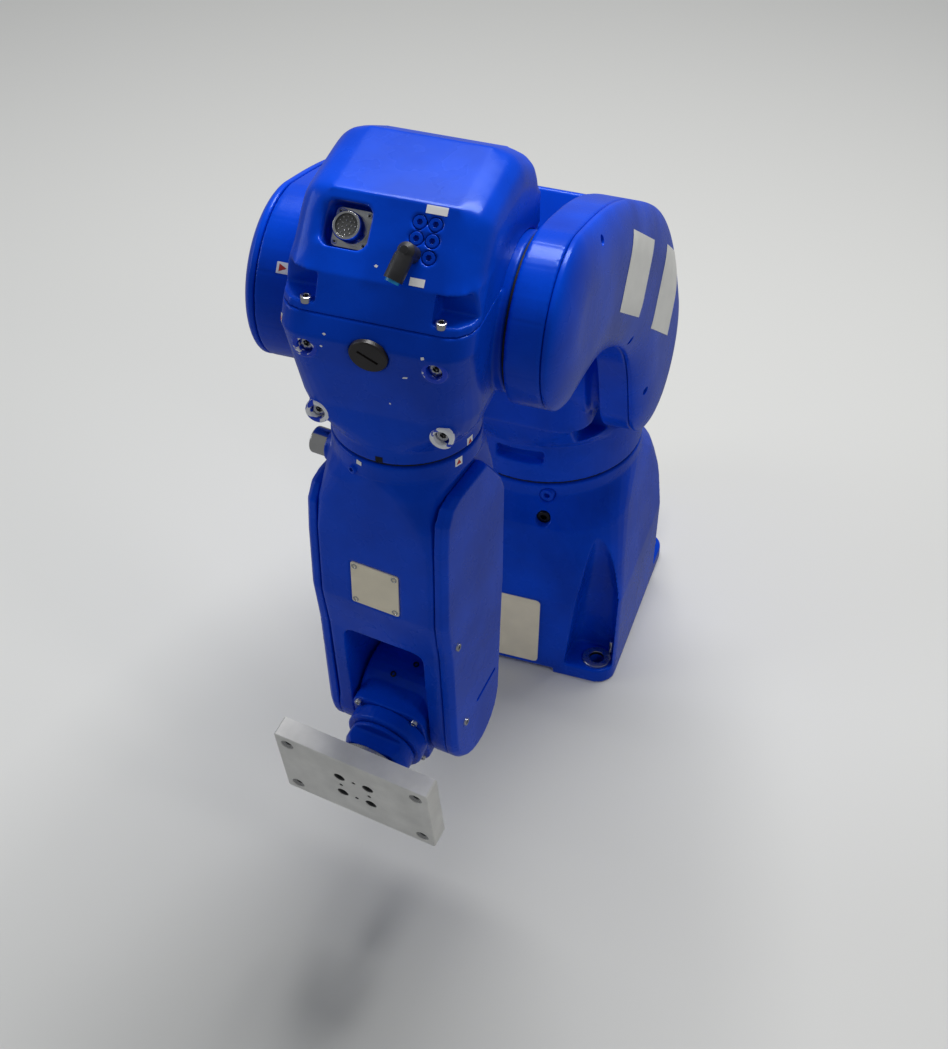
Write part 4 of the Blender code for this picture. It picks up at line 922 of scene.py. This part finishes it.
# Forearm: screws at the corners of the window plate, along both side covers and on the roll ring, and the
# polished end of the stub with its turned rings.
WINDOW_SCREW_X = 15.6
SIDE_SCREW_SEAT = 54.6
for x in (-WINDOW_SCREW_X, WINDOW_SCREW_X):
    for y in (-174.4, -205.6):
        socket_screw(f"window_screw_{int(x)}_{int(y)}", "forearm", FOREARM, (x, y, 51.1), UPWARD, 2.3, 1.7,
                     CHROME, 15)
for side in (-1, 1):
    for y, z in ((-238, 34), (-328, 22)):
        seat = (side * SIDE_SCREW_SEAT, y, z)
        socket_screw(f"side_screw_{side}_{-y}", "forearm", FOREARM, seat, (side, 0, 0), 3.0, 2.2, CHROME, 10)
socket_screw("ring_screw", "forearm", FOREARM, (-14, -88, 49.3), (-0.27, 0, 0.96), 3.0, 2.0, BLUE)
stub_profile = ((8.2, 0.02), (7.9, 0.12), (6.2, 0.12), (6.0, -0.05), (0.01, -0.05))
turned("stub_face", stub_profile, 40, "forearm", FOREARM, (-62.5, -103, 18), (-1, 0, 0), POLISHED)


# Wrist: screws of the square flange round its nose, and two on the drum.
NOSE_SCREW_X = 23.7
NOSE_SCREW_Z = 25.2
for x in (-NOSE_SCREW_X, NOSE_SCREW_X):
    for z in (-NOSE_SCREW_Z, NOSE_SCREW_Z):
        socket_screw(f"nose_screw_{int(x)}_{int(z)}", "wrist", WRIST, (x, -38.4, z), FORWARD, 2.7, 2.6,
                     CHROME, 25)
socket_screw("drum_screw_low", "wrist", WRIST, (-7, -12, 34.3), (0, -0.33, 0.94), 2.3, 1.2, BLACK_STEEL)
socket_screw("drum_screw_high", "wrist", WRIST, (6, 1, 36.3), (0, 0.03, 1), 2.3, 1.2, BLACK_STEEL)


# Tool plate: a countersink and threads in each of its four tool holes, small dowel holes between them, and a
# bare countersink over a bore in each corner; their threads, bores and floors are dark painted shade.
HOLE_SHADE = metal("painted_hole_shade", (0.13, 0.13, 0.13), 0.5, 0.1)
THREAD_TURNS = 8


def plate_hole(name, profile, sides, x, z, material):
    """Lining of a hole that runs into the tool plate from its face."""
    turned(f"{name}_{int(x)}_{int(z)}", profile, sides, "tool", TOOL, (x, PLATE_FACE, z), FORWARD, material)


thread_profile = [(4.82, -0.3), (4.6, -0.7)]
for number in range(THREAD_TURNS):
    thread_profile += [(4.42, -0.9 - number), (3.9, -1.3 - number)]
thread_profile.append((0.01, -8.6))
dowel_profile = ((2.0, 0.03), (1.55, -0.4), (1.5, -6), (0.01, -6))
sink_profile = ((5.62, -0.25), (5.4, -0.4), (2.8, -1.9))
corner_profile = ((2.85, -1.85), (2.7, -2.1), (2.7, -6.5), (0.01, -6.5))
for x in (-TOOL_HOLE, TOOL_HOLE):
    for z in (-TOOL_HOLE, TOOL_HOLE):
        plate_hole("tool_hole", thread_profile, 40, x, z, HOLE_SHADE)
for x, z in ((-TOOL_HOLE, 0), (TOOL_HOLE, 0), (0, TOOL_HOLE), (0, -TOOL_HOLE)):
    plate_hole("dowel_hole", dowel_profile, 28, x, z, HOLE_SHADE)
for x in (-CORNER_X, CORNER_X):
    for z in (-CORNER_Z, CORNER_Z):
        plate_hole("corner_sink", sink_profile, 40, x, z, BARE_STEEL)
        plate_hole("corner_hole", corner_profile, 36, x, z, HOLE_SHADE)
